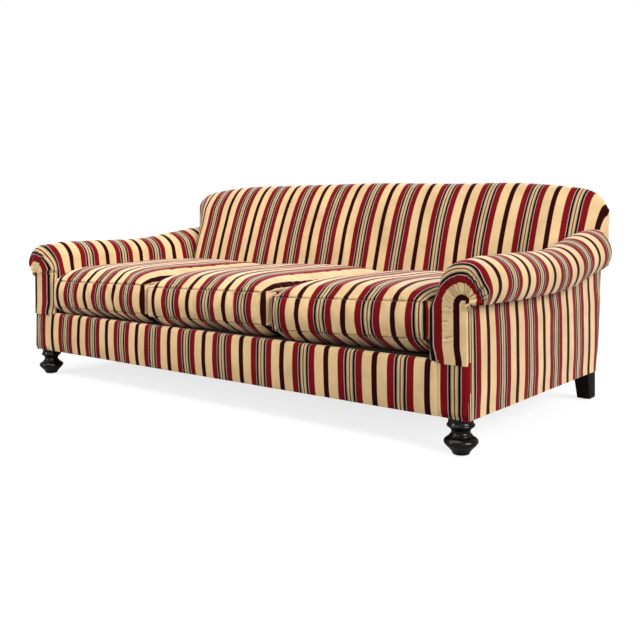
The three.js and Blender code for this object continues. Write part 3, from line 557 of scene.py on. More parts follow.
class ArmLook:
    """Where the stripes, pleats and folds lie on one arm; places are counted from its inside face"""
    def __init__(self, leg, arch, arch_radius, drawn, pleats, roll, swell, bulge, stand, lifted, tucks):
        self.leg = leg  # place of the brown stripe on the arm's front
        self.arch = arch  # place and height of the arch's centre
        self.arch_radius = arch_radius
        self.drawn = drawn  # cloth drawn in above the arch and beside it; where beside starts and ends
        self.pleats = pleats  # count, near and far reach, share that lies in shade
        self.roll_brown, self.upright_brown, self.roll_pitch = roll  # brown stripes' depths, and the repeat
        self.swell = swell  # how far the padding stands out behind the front and at the rear end
        self.bulge = bulge  # how far the front stands in over the cushion's corner, its width, and the rear's
        self.stand = stand  # how far the front stands forward
        self.lifted = lifted  # how far the roll's underside is drawn up at the front
        self.tucks = tucks  # height at the inside face, slope, near and far end, strength


ARM_LOOKS = {
    "right": ArmLook(
        leg=0.086,
        arch=(0.107, 0.457),
        arch_radius=0.019,
        drawn=(1.14, 1.70, 0.05, 0.95),
        pleats=(13, 0.020, 0.098, 0.15),
        roll=(0.073, 0.112, 0.1910),
        swell=(0.006, 0.006),
        bulge=(0.015, 0.024, 0.0),
        stand=0.0085,
        lifted=0.004,
        tucks=((0.443, 0.0, 0.034, 0.086, 1.0), (0.400, 0.0, 0.032, 0.062, 0.7),
               (0.341, 0.22, 0.034, 0.080, 0.9), (0.427, 0.0, 0.024, 0.046, 0.4),
               (0.371, 0.0, 0.022, 0.042, 0.4), (0.306, 0.0, 0.024, 0.040, 0.4)),
    ),
    "left": ArmLook(
        leg=0.104,
        arch=(0.104, 0.447),
        arch_radius=0.001,
        drawn=(0.80, 0.72, -0.10, 0.60),
        pleats=(8, 0.012, 0.125, 0.30),
        roll=(0.108, 0.118, 0.2030),
        swell=(0.011, 0.0),
        bulge=(0.020, 0.058, 0.016),
        stand=0.0140,
        lifted=0.015,
        tucks=((0.469, -0.21, -0.040, 0.078, 1.0), (0.400, 0.0, 0.030, 0.062, 0.4),
               (0.345, 0.0, 0.034, 0.060, 0.4)),
    ),
}


def stripe_distance(look, x, height):
    """Distance from the brown stripe's middle line on the arm's front"""
    s = sizes()
    centre_x = s.seat_half + look.arch[0]
    above = height > look.arch[1]
    foot_slant, slant_from, slant_to = 0.006, 0.33, 0.28
    leg_x = s.seat_half + look.leg + foot_slant * smoothstep(height, slant_from, slant_to)
    to_arch = np.hypot(x - centre_x, height - look.arch[1])
    top, beside, begins, ends = look.drawn
    reach = np.maximum(to_arch, 0.001)
    drawn = lerp(1, top, smoothstep((height - look.arch[1]) / reach, 0.0, 0.9))
    drawn = lerp(drawn, beside, smoothstep((x - centre_x) / reach, begins, ends))
    return np.where(above, np.abs(to_arch - look.arch_radius) * drawn, np.abs(x - leg_x))


PLEATED_TURN = math.pi * 1.12  # angle round the arch over which the pleats are spread
PLEAT_NEAR_EASE, PLEAT_FAR_EASE = 0.012, 0.024  # lengths over which they start and end
PLEAT_LOW, PLEAT_HIGH = -0.004, 0.014  # heights from the arch's centre between which they start


def pleats(look, x, height):
    """Fold height (0 to 1), sideways slip (-0.5 to 0.5) and valley shade of the pleats round the arch"""
    s = sizes()
    count, near, far, shaded = look.pleats
    centre_x = s.seat_half + look.arch[0]
    angle = np.arctan2(height - look.arch[1], x - centre_x)
    reach = np.hypot(x - centre_x, height - look.arch[1])
    turn = (math.pi - angle) / PLEATED_TURN * count
    turn = turn + 0.35 * np.sin(turn * 1.7 + 0.6)
    saw = turn - np.floor(turn)
    shown = smoothstep(reach, near, near + PLEAT_NEAR_EASE)
    shown = shown * (1 - smoothstep(reach, far - PLEAT_FAR_EASE, far))
    shown = shown * smoothstep(height, look.arch[1] + PLEAT_LOW, look.arch[1] + PLEAT_HIGH)
    fold = saw ** 1.3 * smoothstep(1 - saw, 0.0, 0.14)
    valley = np.maximum(bump(saw, 0.97, shaded), bump(saw, 0.0, shaded * 0.55)) * shown
    return fold * shown, (saw - 0.5) * shown, valley


EDGE_LEAST, EDGE_ON_TOP, EDGE_AT_SEAM = 0.008, 0.024, 0.004  # rounding of the front edge, and what is added
CAP_RADIUS = 0.036  # rounding of the roll's rear end
CAP_STEPS, BODY_STEPS, FLAT_STEPS, ROUND_STEPS, FACE_STEPS = 7, 150, 6, 9, 34
BODY_FRONT = 0.060  # depth where the roll's stripes start to pass into those of the front
HUB_OFFSET = (0.030, -0.012)  # of the rear end's middle from the roll's centre
IN_THE_BACK = 0.016  # how far the arm's cover reaches into the back
HIDDEN_SIDE = (0.034, 0.050)  # from the inside face, where low rows pass from the back's face to beside it
HIDDEN_BELOW = (-0.575, -0.555)  # and the heights, counted down, that make a row low
SEAM_IN = 0.0045  # the front's outer edge, in from the outside face
TURNED_UNDER = ((0.0021, 0.0035), (0.0030, 0.0100))  # last columns of the front: out, and back


def arm_rear(rows):
    """Depth where each row of an arm ends, and 1 where it closes round the roll's end beside the back"""
    s = sizes()
    x, height = rows[:, 0], rows[:, 1]
    rear = 0.95
    for _ in range(8):  # the roll climbs with depth, so the depth is found in rounds
        rear = back_surface(x, climbed(height, rear)) + IN_THE_BACK
    rear_height = climbed(height, rear)
    past_back = smoothstep(x, s.back_half - 0.012, s.back_half + 0.004)
    hidden = smoothstep(x - s.seat_half, *HIDDEN_SIDE) * smoothstep(-rear_height, *HIDDEN_BELOW)
    beside = np.maximum(past_back, hidden)
    open_end = rear_plane(rear_height) - CAP_RADIUS
    return lerp(np.minimum(rear, open_end), open_end, beside), beside


def arm_ring(inset, depth):
    """The arm's outline at a depth, drawn in by an inset"""
    line = scroll_rows(inset)
    return joined(line[:, 0], depth, climbed(line[:, 1], depth))


def arm_cover(side):
    """Inside arm, roll and pleated front as one cover, from its rear end to its front"""
    s = sizes()
    look = ARM_LOOKS[side]
    rows = scroll_rows(0)
    arc_share = (np.arange(len(rows)) - UPRIGHT_ROWS) / (NECK_ROWS + ARC_ROWS)
    edge = EDGE_LEAST + EDGE_ON_TOP * bump(arc_share, 0.42, 0.46)
    edge = edge + EDGE_AT_SEAM * smoothstep(arc_share, 0.7, 1.0)
    brown = lerp(look.upright_brown, look.roll_brown, smoothstep(arc_share, -0.1, 0.45))
    row_length = along_line(rows)
    scale = velvet().pitch / look.roll_pitch
    rear, beside = arm_rear(rows)
    cap = CAP_RADIUS * beside
    columns = []
    weave = []

    def add(points, across, along=row_length):
        columns.append(points)
        weave.append(joined(across, along))

    last = arm_ring(cap, rear)
    hub = (s.seat_half + s.roll_offset + HUB_OFFSET[0], s.roll_height + HUB_OFFSET[1] + s.roll_rise * 0.9)
    for step in (0.97, 0.7, 0.4):
        share = beside * step
        closing = joined(lerp(last[:, 0], hub[0], share), last[:, 1] + 0.004 * share,
                         lerp(last[:, 2], hub[1], share))
        add(closing, (rear - brown) * scale + 0.06 * share)
    for step in range(CAP_STEPS, -1, -1):
        angle = step / CAP_STEPS * math.pi / 2
        depth = rear - cap + cap * math.sin(angle)
        add(arm_ring(cap * (1 - math.cos(angle)), depth), (rear - cap * (1 - angle) - brown) * scale)
    for step in range(1, BODY_STEPS + 1):
        depth = lerp(BODY_FRONT, rear - cap, 1 - step / BODY_STEPS)
        add(arm_ring(0.0, depth), (depth - brown) * scale)

    # rounded front edge, then the face drawn in towards the arch's foot
    start = (BODY_FRONT - brown) * scale
    face_edge = scroll_rows(edge)
    face_across = stripe_distance(look, face_edge[:, 0], face_edge[:, 1]) - velvet().pitch
    run = (BODY_FRONT - edge) + edge * math.pi / 2
    for step in range(1, FLAT_STEPS + 1):
        depth = lerp(BODY_FRONT, edge, step / FLAT_STEPS)
        add(arm_ring(0.0, depth), lerp(start, face_across, (BODY_FRONT - depth) / run))
    for step in range(1, ROUND_STEPS + 1):
        angle = step / ROUND_STEPS * math.pi / 2
        ring = arm_ring(edge * (1 - math.cos(angle)), edge * (1 - math.sin(angle)))
        add(ring, lerp(start, face_across, (BODY_FRONT - edge + edge * angle) / run))
    seam_x = s.seat_half + s.arm_width - SEAM_IN
    seam_height = np.minimum(face_edge[:, 1], s.roll_underside)
    for step in range(1, FACE_STEPS + 1):
        share = step / FACE_STEPS
        x = lerp(face_edge[:, 0], seam_x, share)
        height = lerp(face_edge[:, 1], seam_height, share)
        across = stripe_distance(look, x, height) - velvet().pitch
        add(joined(x, 0.0, height), across, row_length + step * 0.001)
    for out, behind in TURNED_UNDER:
        across, along = (weave[-1] + (0.003, 0)).T
        add(joined(seam_x + out, behind, seam_height), across, along)

    # seams holds the painted shade of the pleat valleys and tucks
    points, cloth, seams = fuss_arm(look, np.stack(columns, 1), np.stack(weave, 1))
    piece = cloth_grid("arm_cover_" + side, on_side(points, side), cloth, seams)
    return upholster(piece, s.cover_thickness, 0.8, None, "arm_pad_" + side, "arm_facing_" + side)


AT_FRONT = (0.004, 0.030)  # depths between which the face's pleats and puff fade
NEAR_FRONT = (0.02, 0.07)  # depths between which its tucks fade
PLEAT_DEPTH, TUCK_DEPTH, TUCK_RIDGE = 0.0056, 0.0042, 0.0024
PLEAT_SLIP = 0.0045  # how far stripes jump sideways from pleat to pleat


def fuss_arm(look, points, cloth):
    """Pleats and tucks of the arm's front, with painted shade in their valleys, a little puff, and soft
    unevenness along the roll
    """
    s = sizes()
    x, depth, height = points[..., 0], points[..., 1], points[..., 2]
    behind = x - s.seat_half
    front = 1 - smoothstep(depth, *AT_FRONT)
    fold, slip, valley = pleats(look, x, height)
    # painted shade in the pleats' valleys, carried in seams to the material
    seams = 0.8 * valley * front
    inside = smoothstep(behind, 0.004, 0.034)
    puff = look.stand * inside * smoothstep(s.arm_width - 0.004 - behind, -0.05, 0.03) * front
    move = -puff - PLEAT_DEPTH * fold * front
    near_front = 1 - smoothstep(depth, *NEAR_FRONT)
    for level, slope, near, far, strength in look.tucks:
        shown = bump(behind, (near + far) / 2, (far - near) * 0.62) * near_front * strength
        line = level + slope * behind + 0.0010 * np.sin(behind * 240 + strength * 40)
        move = move + TUCK_DEPTH * bump(height, line, 0.0050) * shown
        move = move - TUCK_RIDGE * bump(height, line - 0.007, 0.008) * shown
        # painted shade along each tuck's line
        seams = np.maximum(seams, 0.85 * bump(height, line, 0.0042) * shown)

    # the front stands in over the cushion's corner, and the roll's underside is drawn up
    at_front, width, at_rear = look.bulge
    bulge = at_front * smoothstep(width - behind, 0, width) * (1 - smoothstep(depth, 0.03, 0.15))
    bulge = bulge * (1 - 0.7 * smoothstep(height, 0.50, 0.575))
    bulge = bulge + at_rear * smoothstep(0.075 - behind, 0, 0.06) * smoothstep(depth, 0.60, 0.80)
    lifted = look.lifted * smoothstep(behind, s.arm_width - 0.006, s.arm_width + 0.012)
    lifted = lifted * smoothstep(0.505 - height, 0, 0.05) * (1 - smoothstep(depth, 0.06, 0.26))
    height = height + lifted
    x = x - 0.45 * lifted - bulge

    points[..., 1] = depth + move
    cloth[..., 0] += PLEAT_SLIP * slip * front
    drift = grain(depth * 3.1, x * 2.3 + 7, height * 2.1)
    cloth[..., 0] += 0.004 * drift * smoothstep(depth, 0.10, 0.20)
    wave = grain(depth * 9.0, height * 7.0, x * 7.0 + 3)
    lift = 0.0014 * wave * smoothstep(height, 0.44, 0.48) * smoothstep(depth, 0.04, 0.12)
    behind_front, at_end = look.swell
    swell = lerp(behind_front, at_end, smoothstep(depth, 0.62, 0.90)) * smoothstep(depth, 0.02, 0.13)
    lift = lift + swell * smoothstep(height, 0.47, 0.56)
    from_x = x - s.seat_half - s.roll_offset
    from_height = height - s.roll_height - rise_at(depth)
    reach = np.hypot(from_x, from_height) + 1e-6
    points[..., 0] = x + lift * from_x / reach
    points[..., 2] = height + lift * from_height / reach
    return points, cloth, seams


# Outside arms and the strip under each arm front

THIN_COVER = 0.0028  # thickness of a cover without wadding
CORNER_RADIUS = 0.006  # of the outside arm's upright edges
CORNER_STEPS, END_STEPS, SIDE_COLUMNS, SIDE_ROWS = 7, 5, 170, 60
SIDE_BROWN = 0.112  # depth of the outside arm's first brown stripe
RETURN_START = -0.130  # place on the cloth where the return round the front corner starts
UNDER_ROLL = 0.004  # how far the outside arm reaches up under the roll
LEAN_LENGTH = 0.25  # of the outside arm's rear end that follows the back's lean
SIDE_PUCKER = 0.585  # depth where its stripes are drawn aside


def outside_arm(side):
    """Side panel under the roll, turned round the front corner"""
    s = sizes()
    outer = s.seat_half + s.arm_width
    shares = np.linspace(0, 1, SIDE_ROWS)
    columns = []
    weave = []

    def add(x, depth, height, across):
        columns.append(joined(x, depth, height))
        weave.append(joined(across, height))

    radius = CORNER_RADIUS
    for step in range(CORNER_STEPS):
        share = step / CORNER_STEPS
        angle = share * math.pi / 2
        height = lerp(s.cover_bottom, s.roll_underside + UNDER_ROLL, shares)
        across = lerp(RETURN_START, radius - SIDE_BROWN, share)
        add(outer - radius + radius * math.sin(angle), radius * (1 - math.cos(angle)), height, across)
    for depth in np.linspace(radius, s.cover_depth - 0.004, SIDE_COLUMNS):
        height = lerp(s.cover_bottom, s.roll_underside + float(rise_at(depth)) + UNDER_ROLL, shares)
        leaning = smoothstep(depth, s.cover_depth - LEAN_LENGTH, s.cover_depth)
        lean = (rear_cover(height) - s.cover_depth) * leaning
        add(outer, depth + lean, height, depth + lean * 0.9 - SIDE_BROWN)
    last, last_weave = columns[-1], weave[-1]
    for step in range(1, END_STEPS + 1):
        angle = step / END_STEPS * math.pi / 2
        columns.append(last + (radius * (math.cos(angle) - 1), radius * math.sin(angle) - 0.002, 0))
        weave.append(last_weave + (0.0015 * step, 0))

    points = np.stack(columns, 1)
    cloth = np.stack(weave, 1)
    x, depth, height = points[..., 0], points[..., 1], points[..., 2]
    swell = smoothstep(height, s.cover_bottom, 0.21) * (1 - smoothstep(height, 0.36, s.roll_underside))
    wave = grain(depth * 6.5, height * 2.2, 4.0) * 0.0022 + grain(depth * 22, height * 5, 9.0) * 0.0007
    edge = smoothstep(depth, 0.01, 0.05)
    points[..., 0] = x + (0.0045 * swell + np.clip(wave, -0.0015, None)) * edge
    slip = 0.0035 * grain(height * 9, depth * 5.5, 1.0) * edge
    aside = bump(height, 0.375, 0.05) - 0.6 * bump(height, 0.235, 0.05)
    cloth[..., 0] += slip - 0.007 * bump(depth, SIDE_PUCKER, 0.05) * aside
    piece = cloth_grid("outside_arm_cover_" + side, on_side(points, side), cloth)
    out = (1 if side == "right" else -1, 0, 0)
    return upholster(piece, THIN_COVER, 0.3, out, "outside_arm_" + side)


STRIP_IN, STRIP_OUT = 0.0165, 0.0005  # the strip's edges, in from the seat's half width and the outside face
STRIP_CENTRES = {"right": 1.0740, "left": 1.0840}  # place of its rust stripe
STRIP_PULLS = {"right": 0.007, "left": -0.006}  # how far its lower outer corner is pulled in
STRIP_COLUMNS, STRIP_ROWS = 34, 40


def corner_strip(side):
    """Flap of the cover on the front, under the arm's pleated face, folded at the corner"""
    s = sizes()
    left = s.seat_half + STRIP_IN
    right = s.seat_half + s.arm_width - STRIP_OUT
    up = np.linspace(0, 1, STRIP_ROWS)
    points = []
    weave = []
    for share in np.linspace(0, 1, STRIP_COLUMNS):
        height = lerp(s.cover_bottom - 0.005 * share ** 4, s.border_top + 0.004, up)
        place = lerp(left, right, share)
        pull = STRIP_PULLS[side] * smoothstep(0.20 - height, 0, 0.09) * share ** 3
        face = -0.0035 - 0.0035 * bump(share, 0.5, 0.7) - 0.0035 * bump(height, 0.20, 0.12)
        depth = face + 0.007 * smoothstep(share, 0.90, 1.0) ** 2 + 0.005 * smoothstep(0.02 - share, 0, 0.02)
        depth = depth + 0.006 * smoothstep(s.cover_bottom + 0.02 - height, 0, 0.02)
        points.append(joined(place - pull, depth, height))
        weave.append(joined(place - STRIP_CENTRES[side] + velvet().pitch / 2, height))
    last, last_weave = points[-1], weave[-1]
    for step in (0.5, 1.0):
        points.append(last + (0.0006, 0.010 * step, 0))
        weave.append(last_weave + (0.004 * step, 0))
    points = np.array(points)
    points[..., 1] += 0.0012 * grain(points[..., 0] * 30, points[..., 2] * 14, 2.0)
    piece = cloth_grid("corner_strip_" + side, on_side(points, side), weave)
    return upholster(piece, 0.004, 0.3, (0, -1, 0))


# Front border

BORDER_PAST = 0.019  # how far the border reaches under each arm's front
BORDER_COLUMNS = 320


def border_profile():
    """Side view of the front border, from its lower edge over its face to the seat, as (depth, height)"""
    s = sizes()
    bottom, top = s.cover_bottom, s.border_top
    face = [(-0.003, bottom + 0.001), (-0.012, bottom + 0.034),
            (-0.013, bottom + 0.118), (-0.005, top - 0.008)]
    lip = [face[-1], (-0.001, top + 0.002), (0.010, top + 0.003)]
    return np.vstack((
        [(0.010, bottom + 0.001), (0.003, bottom)],
        bezier(face, np.linspace(0, 1, 30)),
        bezier(lip, np.linspace(0, 1, 7))[1:],
        [(0.020, top + 0.001), (0.034, top - 0.004)],
    ))


def front_border():
    s = sizes()
    end = s.seat_half + BORDER_PAST
    profile = border_profile()
    x, depth = np.meshgrid(np.linspace(-end, end, BORDER_COLUMNS), profile[:, 0], indexing="ij")
    height = profile[:, 1]
    face = smoothstep(depth, 0.012, 0.0)
    depth = depth - face * (0.0016 * grain(x * 7, height * 4, 0.0) + 0.0009 * grain(x * 24, height * 8, 5.0))
    depth = depth + 0.004 * smoothstep(np.abs(x), end - 0.008, end)
    across = x + 0.003 * grain(x * 5, height * 9, 3.0)
    points = joined(x, depth + FRONT_PLANE, height)
    piece = cloth_grid("front_border_cover", points, joined(across, along_line(profile)))
    return upholster(piece, 0.006, 0.5, (0, -1, 0), "front_border")


# Back

BEVEL_SHARE = 0.68  # how far the back's ends turn back for each unit of width
BODY_THICKNESS = 0.130  # of the back at its middle
TOP_CORNER = 0.128  # radius of the back's top corners
DROOP_START = 0.650  # place where the crest starts to fall
DROOP_END = 0.110  # how far from the back's end it stops falling
DROOP = 0.030  # its fall
SETTLED = 0.014  # how far the crest's right-hand half has settled
SHELF = 0.562  # height above which the back's profile is fitted under the crest
ROLL_OVER = 0.055  # how far the rolled top reaches down behind the crest
END_ROUND = 0.007  # half width of the narrow round at each end
POST_BULGE, POST_PLACE, POST_HEIGHT = 0.011, (1.105, 0.085), (0.772, 0.070)  # over the tops of the back posts
LEFT_SHIFT = 0.022  # how much shorter the left-hand end is below the crest
BACK_COVER = 0.0015  # its thickness, less than half of what is left at the crest's ends


def back_top(x):
    """Height of the back's top edge at a place"""
    s = sizes()
    distance = min(abs(x), s.back_half)
    droop_end = s.back_half - DROOP_END
    run = max(min(distance, droop_end) - DROOP_START, 0)
    fall = DROOP * (run / (droop_end - DROOP_START)) ** 2
    past = min(max(distance - s.back_half + TOP_CORNER, 0), TOP_CORNER * 0.999)
    settled = SETTLED * float(smoothstep(x, 0.0, 0.60) * (1 - 0.3 * smoothstep(x, 1.00, 1.12)))
    return s.overall_height - fall - settled - (TOP_CORNER - math.sqrt(TOP_CORNER ** 2 - past ** 2))


def back_share(x):
    """How much of the back's thickness is left at a place, as its ends turn back"""
    s = sizes()
    past = np.clip(np.abs(x) - (s.back_half - s.bevel_run), 0, None)
    easing = np.minimum(past, s.bevel_ease)
    inset = BEVEL_SHARE * (easing ** 2 / (2 * s.bevel_ease) + past - easing)
    return 1 - inset / BODY_THICKNESS


def back_surface(x, height):
    """Depth of the back's front face at a place"""
    rear = rear_plane(height)
    return rear - (rear - back_front_depth(height)) * back_share(np.minimum(np.abs(x), sizes().back_half))


def back_profile():
    """Side view of the back's cover, up its front face, over the crest and down behind"""
    s = sizes()
    line = back_face_line(44, 26)
    turn_height = s.overall_height - ROLL_OVER
    over = bezier([tuple(line[-1]), (float(rear_plane(s.overall_height)) + 0.004, s.overall_height),
                   (float(rear_plane(turn_height)), turn_height)], np.linspace(0, 1, 16))[1:]
    tail_heights = np.linspace(turn_height, 0.762, 5)[1:]
    tail = joined(rear_plane(tail_heights), tail_heights)
    return np.vstack((line, over, tail))


def back_cover():
    """Tight back, rolled over its top and turned back at its ends"""
    s = sizes()
    profile = back_profile()
    bevel = s.back_half - s.bevel_run
    end = s.back_half - END_ROUND
    places = np.concatenate((np.linspace(0, bevel, 120)[1:], np.linspace(bevel, end, 40)[1:]))
    places = np.concatenate((-places[::-1], [0], places))
    points = np.zeros((len(places), len(profile), 3))
    for i, x in enumerate(places):
        share = (back_top(x) - SHELF) / (s.overall_height - SHELF)
        height = np.where(profile[:, 1] > SHELF, SHELF + (profile[:, 1] - SHELF) * share, profile[:, 1])
        thickness = rear_plane(profile[:, 1]) - profile[:, 0]
        depth = rear_plane(height) - thickness * back_share(x)
        points[i] = joined(x, depth, height)
    points = turned_ends(points)
    x, depth, height = points[..., 0], points[..., 1], points[..., 2]
    step = np.hypot(np.diff(x, axis=0), np.diff(depth, axis=0))
    across = np.concatenate((np.zeros((1, len(profile))), np.cumsum(step, axis=0)))
    across = across - across[len(across) // 2] + 0.004 * grain(x * 3.0, height * 6.0, 1.5)
    across = across + 0.030 * smoothstep(x, 0.82, 1.16)

    # the left-hand end is a little shorter, and both are drawn in beside the arms
    x = x + LEFT_SHIFT * smoothstep(0.765 - height, 0, 0.11) * smoothstep(-x, 0.60, end)
    x = x + 0.004 * smoothstep(x, 0.95, end)
    below = smoothstep(SHELF + 0.03 - height, 0, 0.06)
    over_tuck = np.clip(np.abs(x) - s.seat_half - 0.030, 0, None) * below
    front = smoothstep(rear_plane(height) - depth, 0.01, 0.05)
    wave = 0.0022 * grain(x * 4.5, height * 5.0, 8.0) + 0.0009 * grain(x * 14, height * 9, 2.0)
    over_post = POST_BULGE * bump(np.abs(x), *POST_PLACE) * bump(height, *POST_HEIGHT)
    over_post = over_post * smoothstep(rear_plane(height) - depth, 0.0, 0.02)

    # small gathers where the cloth is drawn round the top corners
    from_x = np.abs(x) - s.back_half + 0.085
    from_height = height - s.overall_height + 0.110
    angle = np.arctan2(from_height, from_x)
    gather = np.sin(angle * 17) * bump(np.hypot(from_x, from_height), 0.085, 0.055)
    gather = gather * bump(angle, math.radians(48), math.radians(46))
    points = joined(x - np.sign(x) * over_tuck * 0.96,
                    depth - wave * front - over_post - 0.0016 * gather + FRONT_PLANE,
                    height + 0.0010 * gather)
    cloth = joined(across, along_line(profile))
    piece = cloth_grid("back_cover", points, cloth)
    return upholster(piece, BACK_COVER, 0.8, (0, -1, 0), "back_pad", "back_webbing")


def turned_ends(points):
    """Closes the back's ends with a narrow round from its front face to its rear plane"""
    rims = {}
    steps = 8
    for side, edge in ((-1, points[0]), (1, points[-1])):
        half = (rear_plane(edge[:, 2]) - edge[:, 1]) / 2
        rim = []
        for step in range(1, steps + 1):
            angle = step / steps * math.pi
            x = edge[:, 0] + side * np.minimum(half, END_ROUND) * math.sin(angle)
            rim.append(joined(x, edge[:, 1] + half * (1 - math.cos(angle)), edge[:, 2]))
        rims[side] = np.stack(rim)
    return np.concatenate((rims[-1][::-1], points, rims[1]))


PANEL_IN = 0.003  # the outside back's edges, in from the outside faces
PANEL_TOP = 0.770  # height of its tacked top edge
PANEL_COLUMNS, PANEL_ROWS = 240, 70


def outside_back():
    """Flat panel behind, tacked under the rolled top"""
    s = sizes()
    end = s.seat_half + s.arm_width - PANEL_IN
    across = np.linspace(-end, end, PANEL_COLUMNS)
    top = np.array([min(PANEL_TOP, back_top(x) - 0.040) for x in across])[:, None]
    height = s.cover_bottom + (top - s.cover_bottom) * np.linspace(0, 1, PANEL_ROWS)
    x = across[:, None]
    hem = bump(height, top, 0.012) + bump(height, s.cover_bottom, 0.010) + bump(np.abs(x), end, 0.012)
    wave = 0.0014 * grain(x * 4, height * 3, 6.0) + 0.0005 * grain(x * 17, height * 6, 1.0)
    depth = rear_cover(height) + wave - 0.0016 * np.clip(hem, 0, 1)
    cloth = joined(x + 0.003 * grain(x * 4, height * 6, 2.0), height)
    piece = cloth_grid("outside_back_cover", joined(x, depth + FRONT_PLANE, height), cloth)
    return upholster(piece, THIN_COVER, 0.2, (0, 1, 0), "outside_back")


# Seat cushions

BROWN_OFFSETS = {"left": -0.061, "middle": -0.077, "right": 0.003}  # a brown stripe from a cushion's middle
CROWDED = {"left": 0.021, "middle": 0.007, "right": 0.008}  # stripes drawn in at the right-hand corner
CROWDED_FROM = (0.18, 0.34)  # places between which they are
CORNERS_IN = {"left": (0.021, 0.0), "middle": (0.0, 0.0), "right": (0.0, 0.011)}  # drawn in by an arm
CROWNS = {"left": 0.058, "middle": 0.053, "right": 0.049}  # rise of each cushion's top above its seam
BELLY = 0.044  # fall of its underside below its seam
SEAM_SHIFTS = {"left": (-0.016, -0.003), "middle": (-0.010, 0.005), "right": (-0.010, 0.014)}  # at both ends
SEAM_STEPS = (0.0, 0.0020, 0.0045, 0.0085, 0.0140, 0.0215)  # from a seam to the grid lines beside it
CORNER_ROUND = 0.022  # of a cushion's upright corners
DRAWN_SIDES = 0.004  # how far the middle of each side is drawn in
CROWN_SIDE, CROWN_END = 0.11, 0.14  # widths behind the seams over which the top rises
BELLY_SIDE, BELLY_END, BELLY_EASE = 0.060, 0.075, 0.080  # and over which the underside falls
BORDER_BULGE = 0.012  # of the front border
REAR_LEAN = 0.2  # how far the rear leans back for each unit of height
GRID = (64, 72, 16)  # quads across, along and up
PANELS = ("top", "bottom", "front", "rear", "left", "right")
DECK_ENDS = (0.024, 0.930)  # depths where the sprung deck's crown starts and ends
DECK_CROWN = 0.020


def deck_height(depth):
    """Height of the sprung deck under the cushions"""
    front, rear = DECK_ENDS
    share = np.clip((np.asarray(depth, float) - front) / (rear - front), 0, 1)
    return sizes().border_top - 0.0035 + DECK_CROWN * np.sin(math.pi * share)


def half_sizes():
    """Half width, half depth and half height between a cushion's seams"""
    s = sizes()
    return ((s.cushion_pitch - s.cushion_gap) / 2, (s.cushion_rear - s.cushion_front) / 2,
            (s.seam_high - s.seam_low) / 2)


def seam_grid(half, count):
    """Places from -1 to 1 with close lines beside both ends"""
    near = np.array(SEAM_STEPS) / half
    inner = np.linspace(near[-1] - 1, 1 - near[-1], count - 2 * len(SEAM_STEPS) + 3)
    return np.concatenate((near[:-1] - 1, inner, 1 - near[-2::-1]))


def unit_box():
    """Points on the unit cube's skin, its quads, and each quad's panel"""
    across, along, up = GRID
    u, v, w = (seam_grid(half, count) for half, count in zip(half_sizes(), GRID))
    index = {}
    faces = []
    panels = []
    walls = (
        (across, along, lambda i, j: (i, j, up)),
        (across, along, lambda i, j: (i, along - j, 0)),
        (across, up, lambda i, j: (i, 0, j)),
        (across, up, lambda i, j: (across - i, along, j)),
        (along, up, lambda i, j: (0, along - i, j)),
        (along, up, lambda i, j: (across, i, j)),
    )  # in the order of PANELS
    for number, (first, second, make) in enumerate(walls):
        for i in range(first):
            for j in range(second):
                quad = (make(i + di, j + dj) for di, dj in ((0, 0), (1, 0), (1, 1), (0, 1)))
                faces.append([index.setdefault(corner, len(index)) for corner in quad])
                panels.append(number)
    return np.array([(u[a], v[b], w[c]) for a, b, c in index]), faces, np.array(panels)


def quarter_round(distance, width):
    """0 at a seam, 1 at a width behind it, along a quarter of a circle"""
    share = 1 - np.clip(distance / width, 0, 1)
    return np.sqrt(np.clip(1 - share * share, 0, 1))


def cushion_shape(unit, side, inset):
    """The stuffed form: crowned top, full underside, drawn-in sides, rounded corners, bulging front border"""
    s = sizes()
    u, v, w = unit.T
    half_width, half_depth, half_height = (half - inset for half in half_sizes())
    in_side = (1 - np.abs(u)) * half_width
    in_end = (1 - np.abs(v)) * half_depth
    a, b = np.clip(CORNER_ROUND - in_side, 0, None), np.clip(CORNER_ROUND - in_end, 0, None)
    shrink = np.maximum(a, b) / np.maximum(np.hypot(a, b), 1e-9)
    in_side = np.where((a > 0) & (b > 0), CORNER_ROUND - a * shrink, in_side)
    in_end = np.where((a > 0) & (b > 0), CORNER_ROUND - b * shrink, in_end)
    dome = (1 - np.abs(u) ** 4) * (1 - np.abs(v) ** 4)
    crown = lerp(dome, quarter_round(in_side, CROWN_SIDE) * quarter_round(in_end, CROWN_END), 0.60)
    full_end = lerp(quarter_round(in_end, BELLY_END), smoothstep(in_end, 0, BELLY_EASE), 0.7)
    bulge = BORDER_BULGE * (1 - w * w) * (1 - u ** 8) * np.clip(-v, 0, 1) ** 6
    x = np.sign(u) * (half_width - in_side) - DRAWN_SIDES * u * (1 - v * v)
    y = np.sign(v) * (half_depth - in_end) - DRAWN_SIDES * v * (1 - u * u)
    in_left, in_right = CORNERS_IN[side]
    corners_in = in_left * smoothstep(-u, 0.74, 1) - in_right * smoothstep(u, 0.74, 1)
    x = x + corners_in * smoothstep(-v, 0.55, 0.96)
    shift = lerp(*SEAM_SHIFTS[side], (u + 1) / 2) * (1 - v) / 2
    full = quarter_round(in_side, BELLY_SIDE) * full_end
    rise = np.where(w > 0, crown * CROWNS[side], -full * BELLY) * np.abs(w)
    z = (s.seam_high + s.seam_low) / 2 + w * half_height + rise + shift
    lean = REAR_LEAN * (z - s.seam_low) * ((v + 1) / 2) * (1 - crown)
    middle = (s.cushion_rear + s.cushion_front) / 2
    return joined(seat_middle(side) + x, middle + y - bulge + lean, z)


def seat_middle(side):
    return (SEATS.index(side) - 1) * sizes().cushion_pitch


CLOTH = {
    "quality": 5,
    "mass": 0.25,
    "tension_stiffness": 12,
    "compression_stiffness": 6,
    "shear_stiffness": 4,
    "bending_stiffness": 0.15,
    "use_pressure": True,
    "uniform_pressure_force": 4.0,
    "vertex_group_mass": "seams",
    "shrink_min": -0.022,
}
BLOWN_UP = 0.007  # no point moves further than this


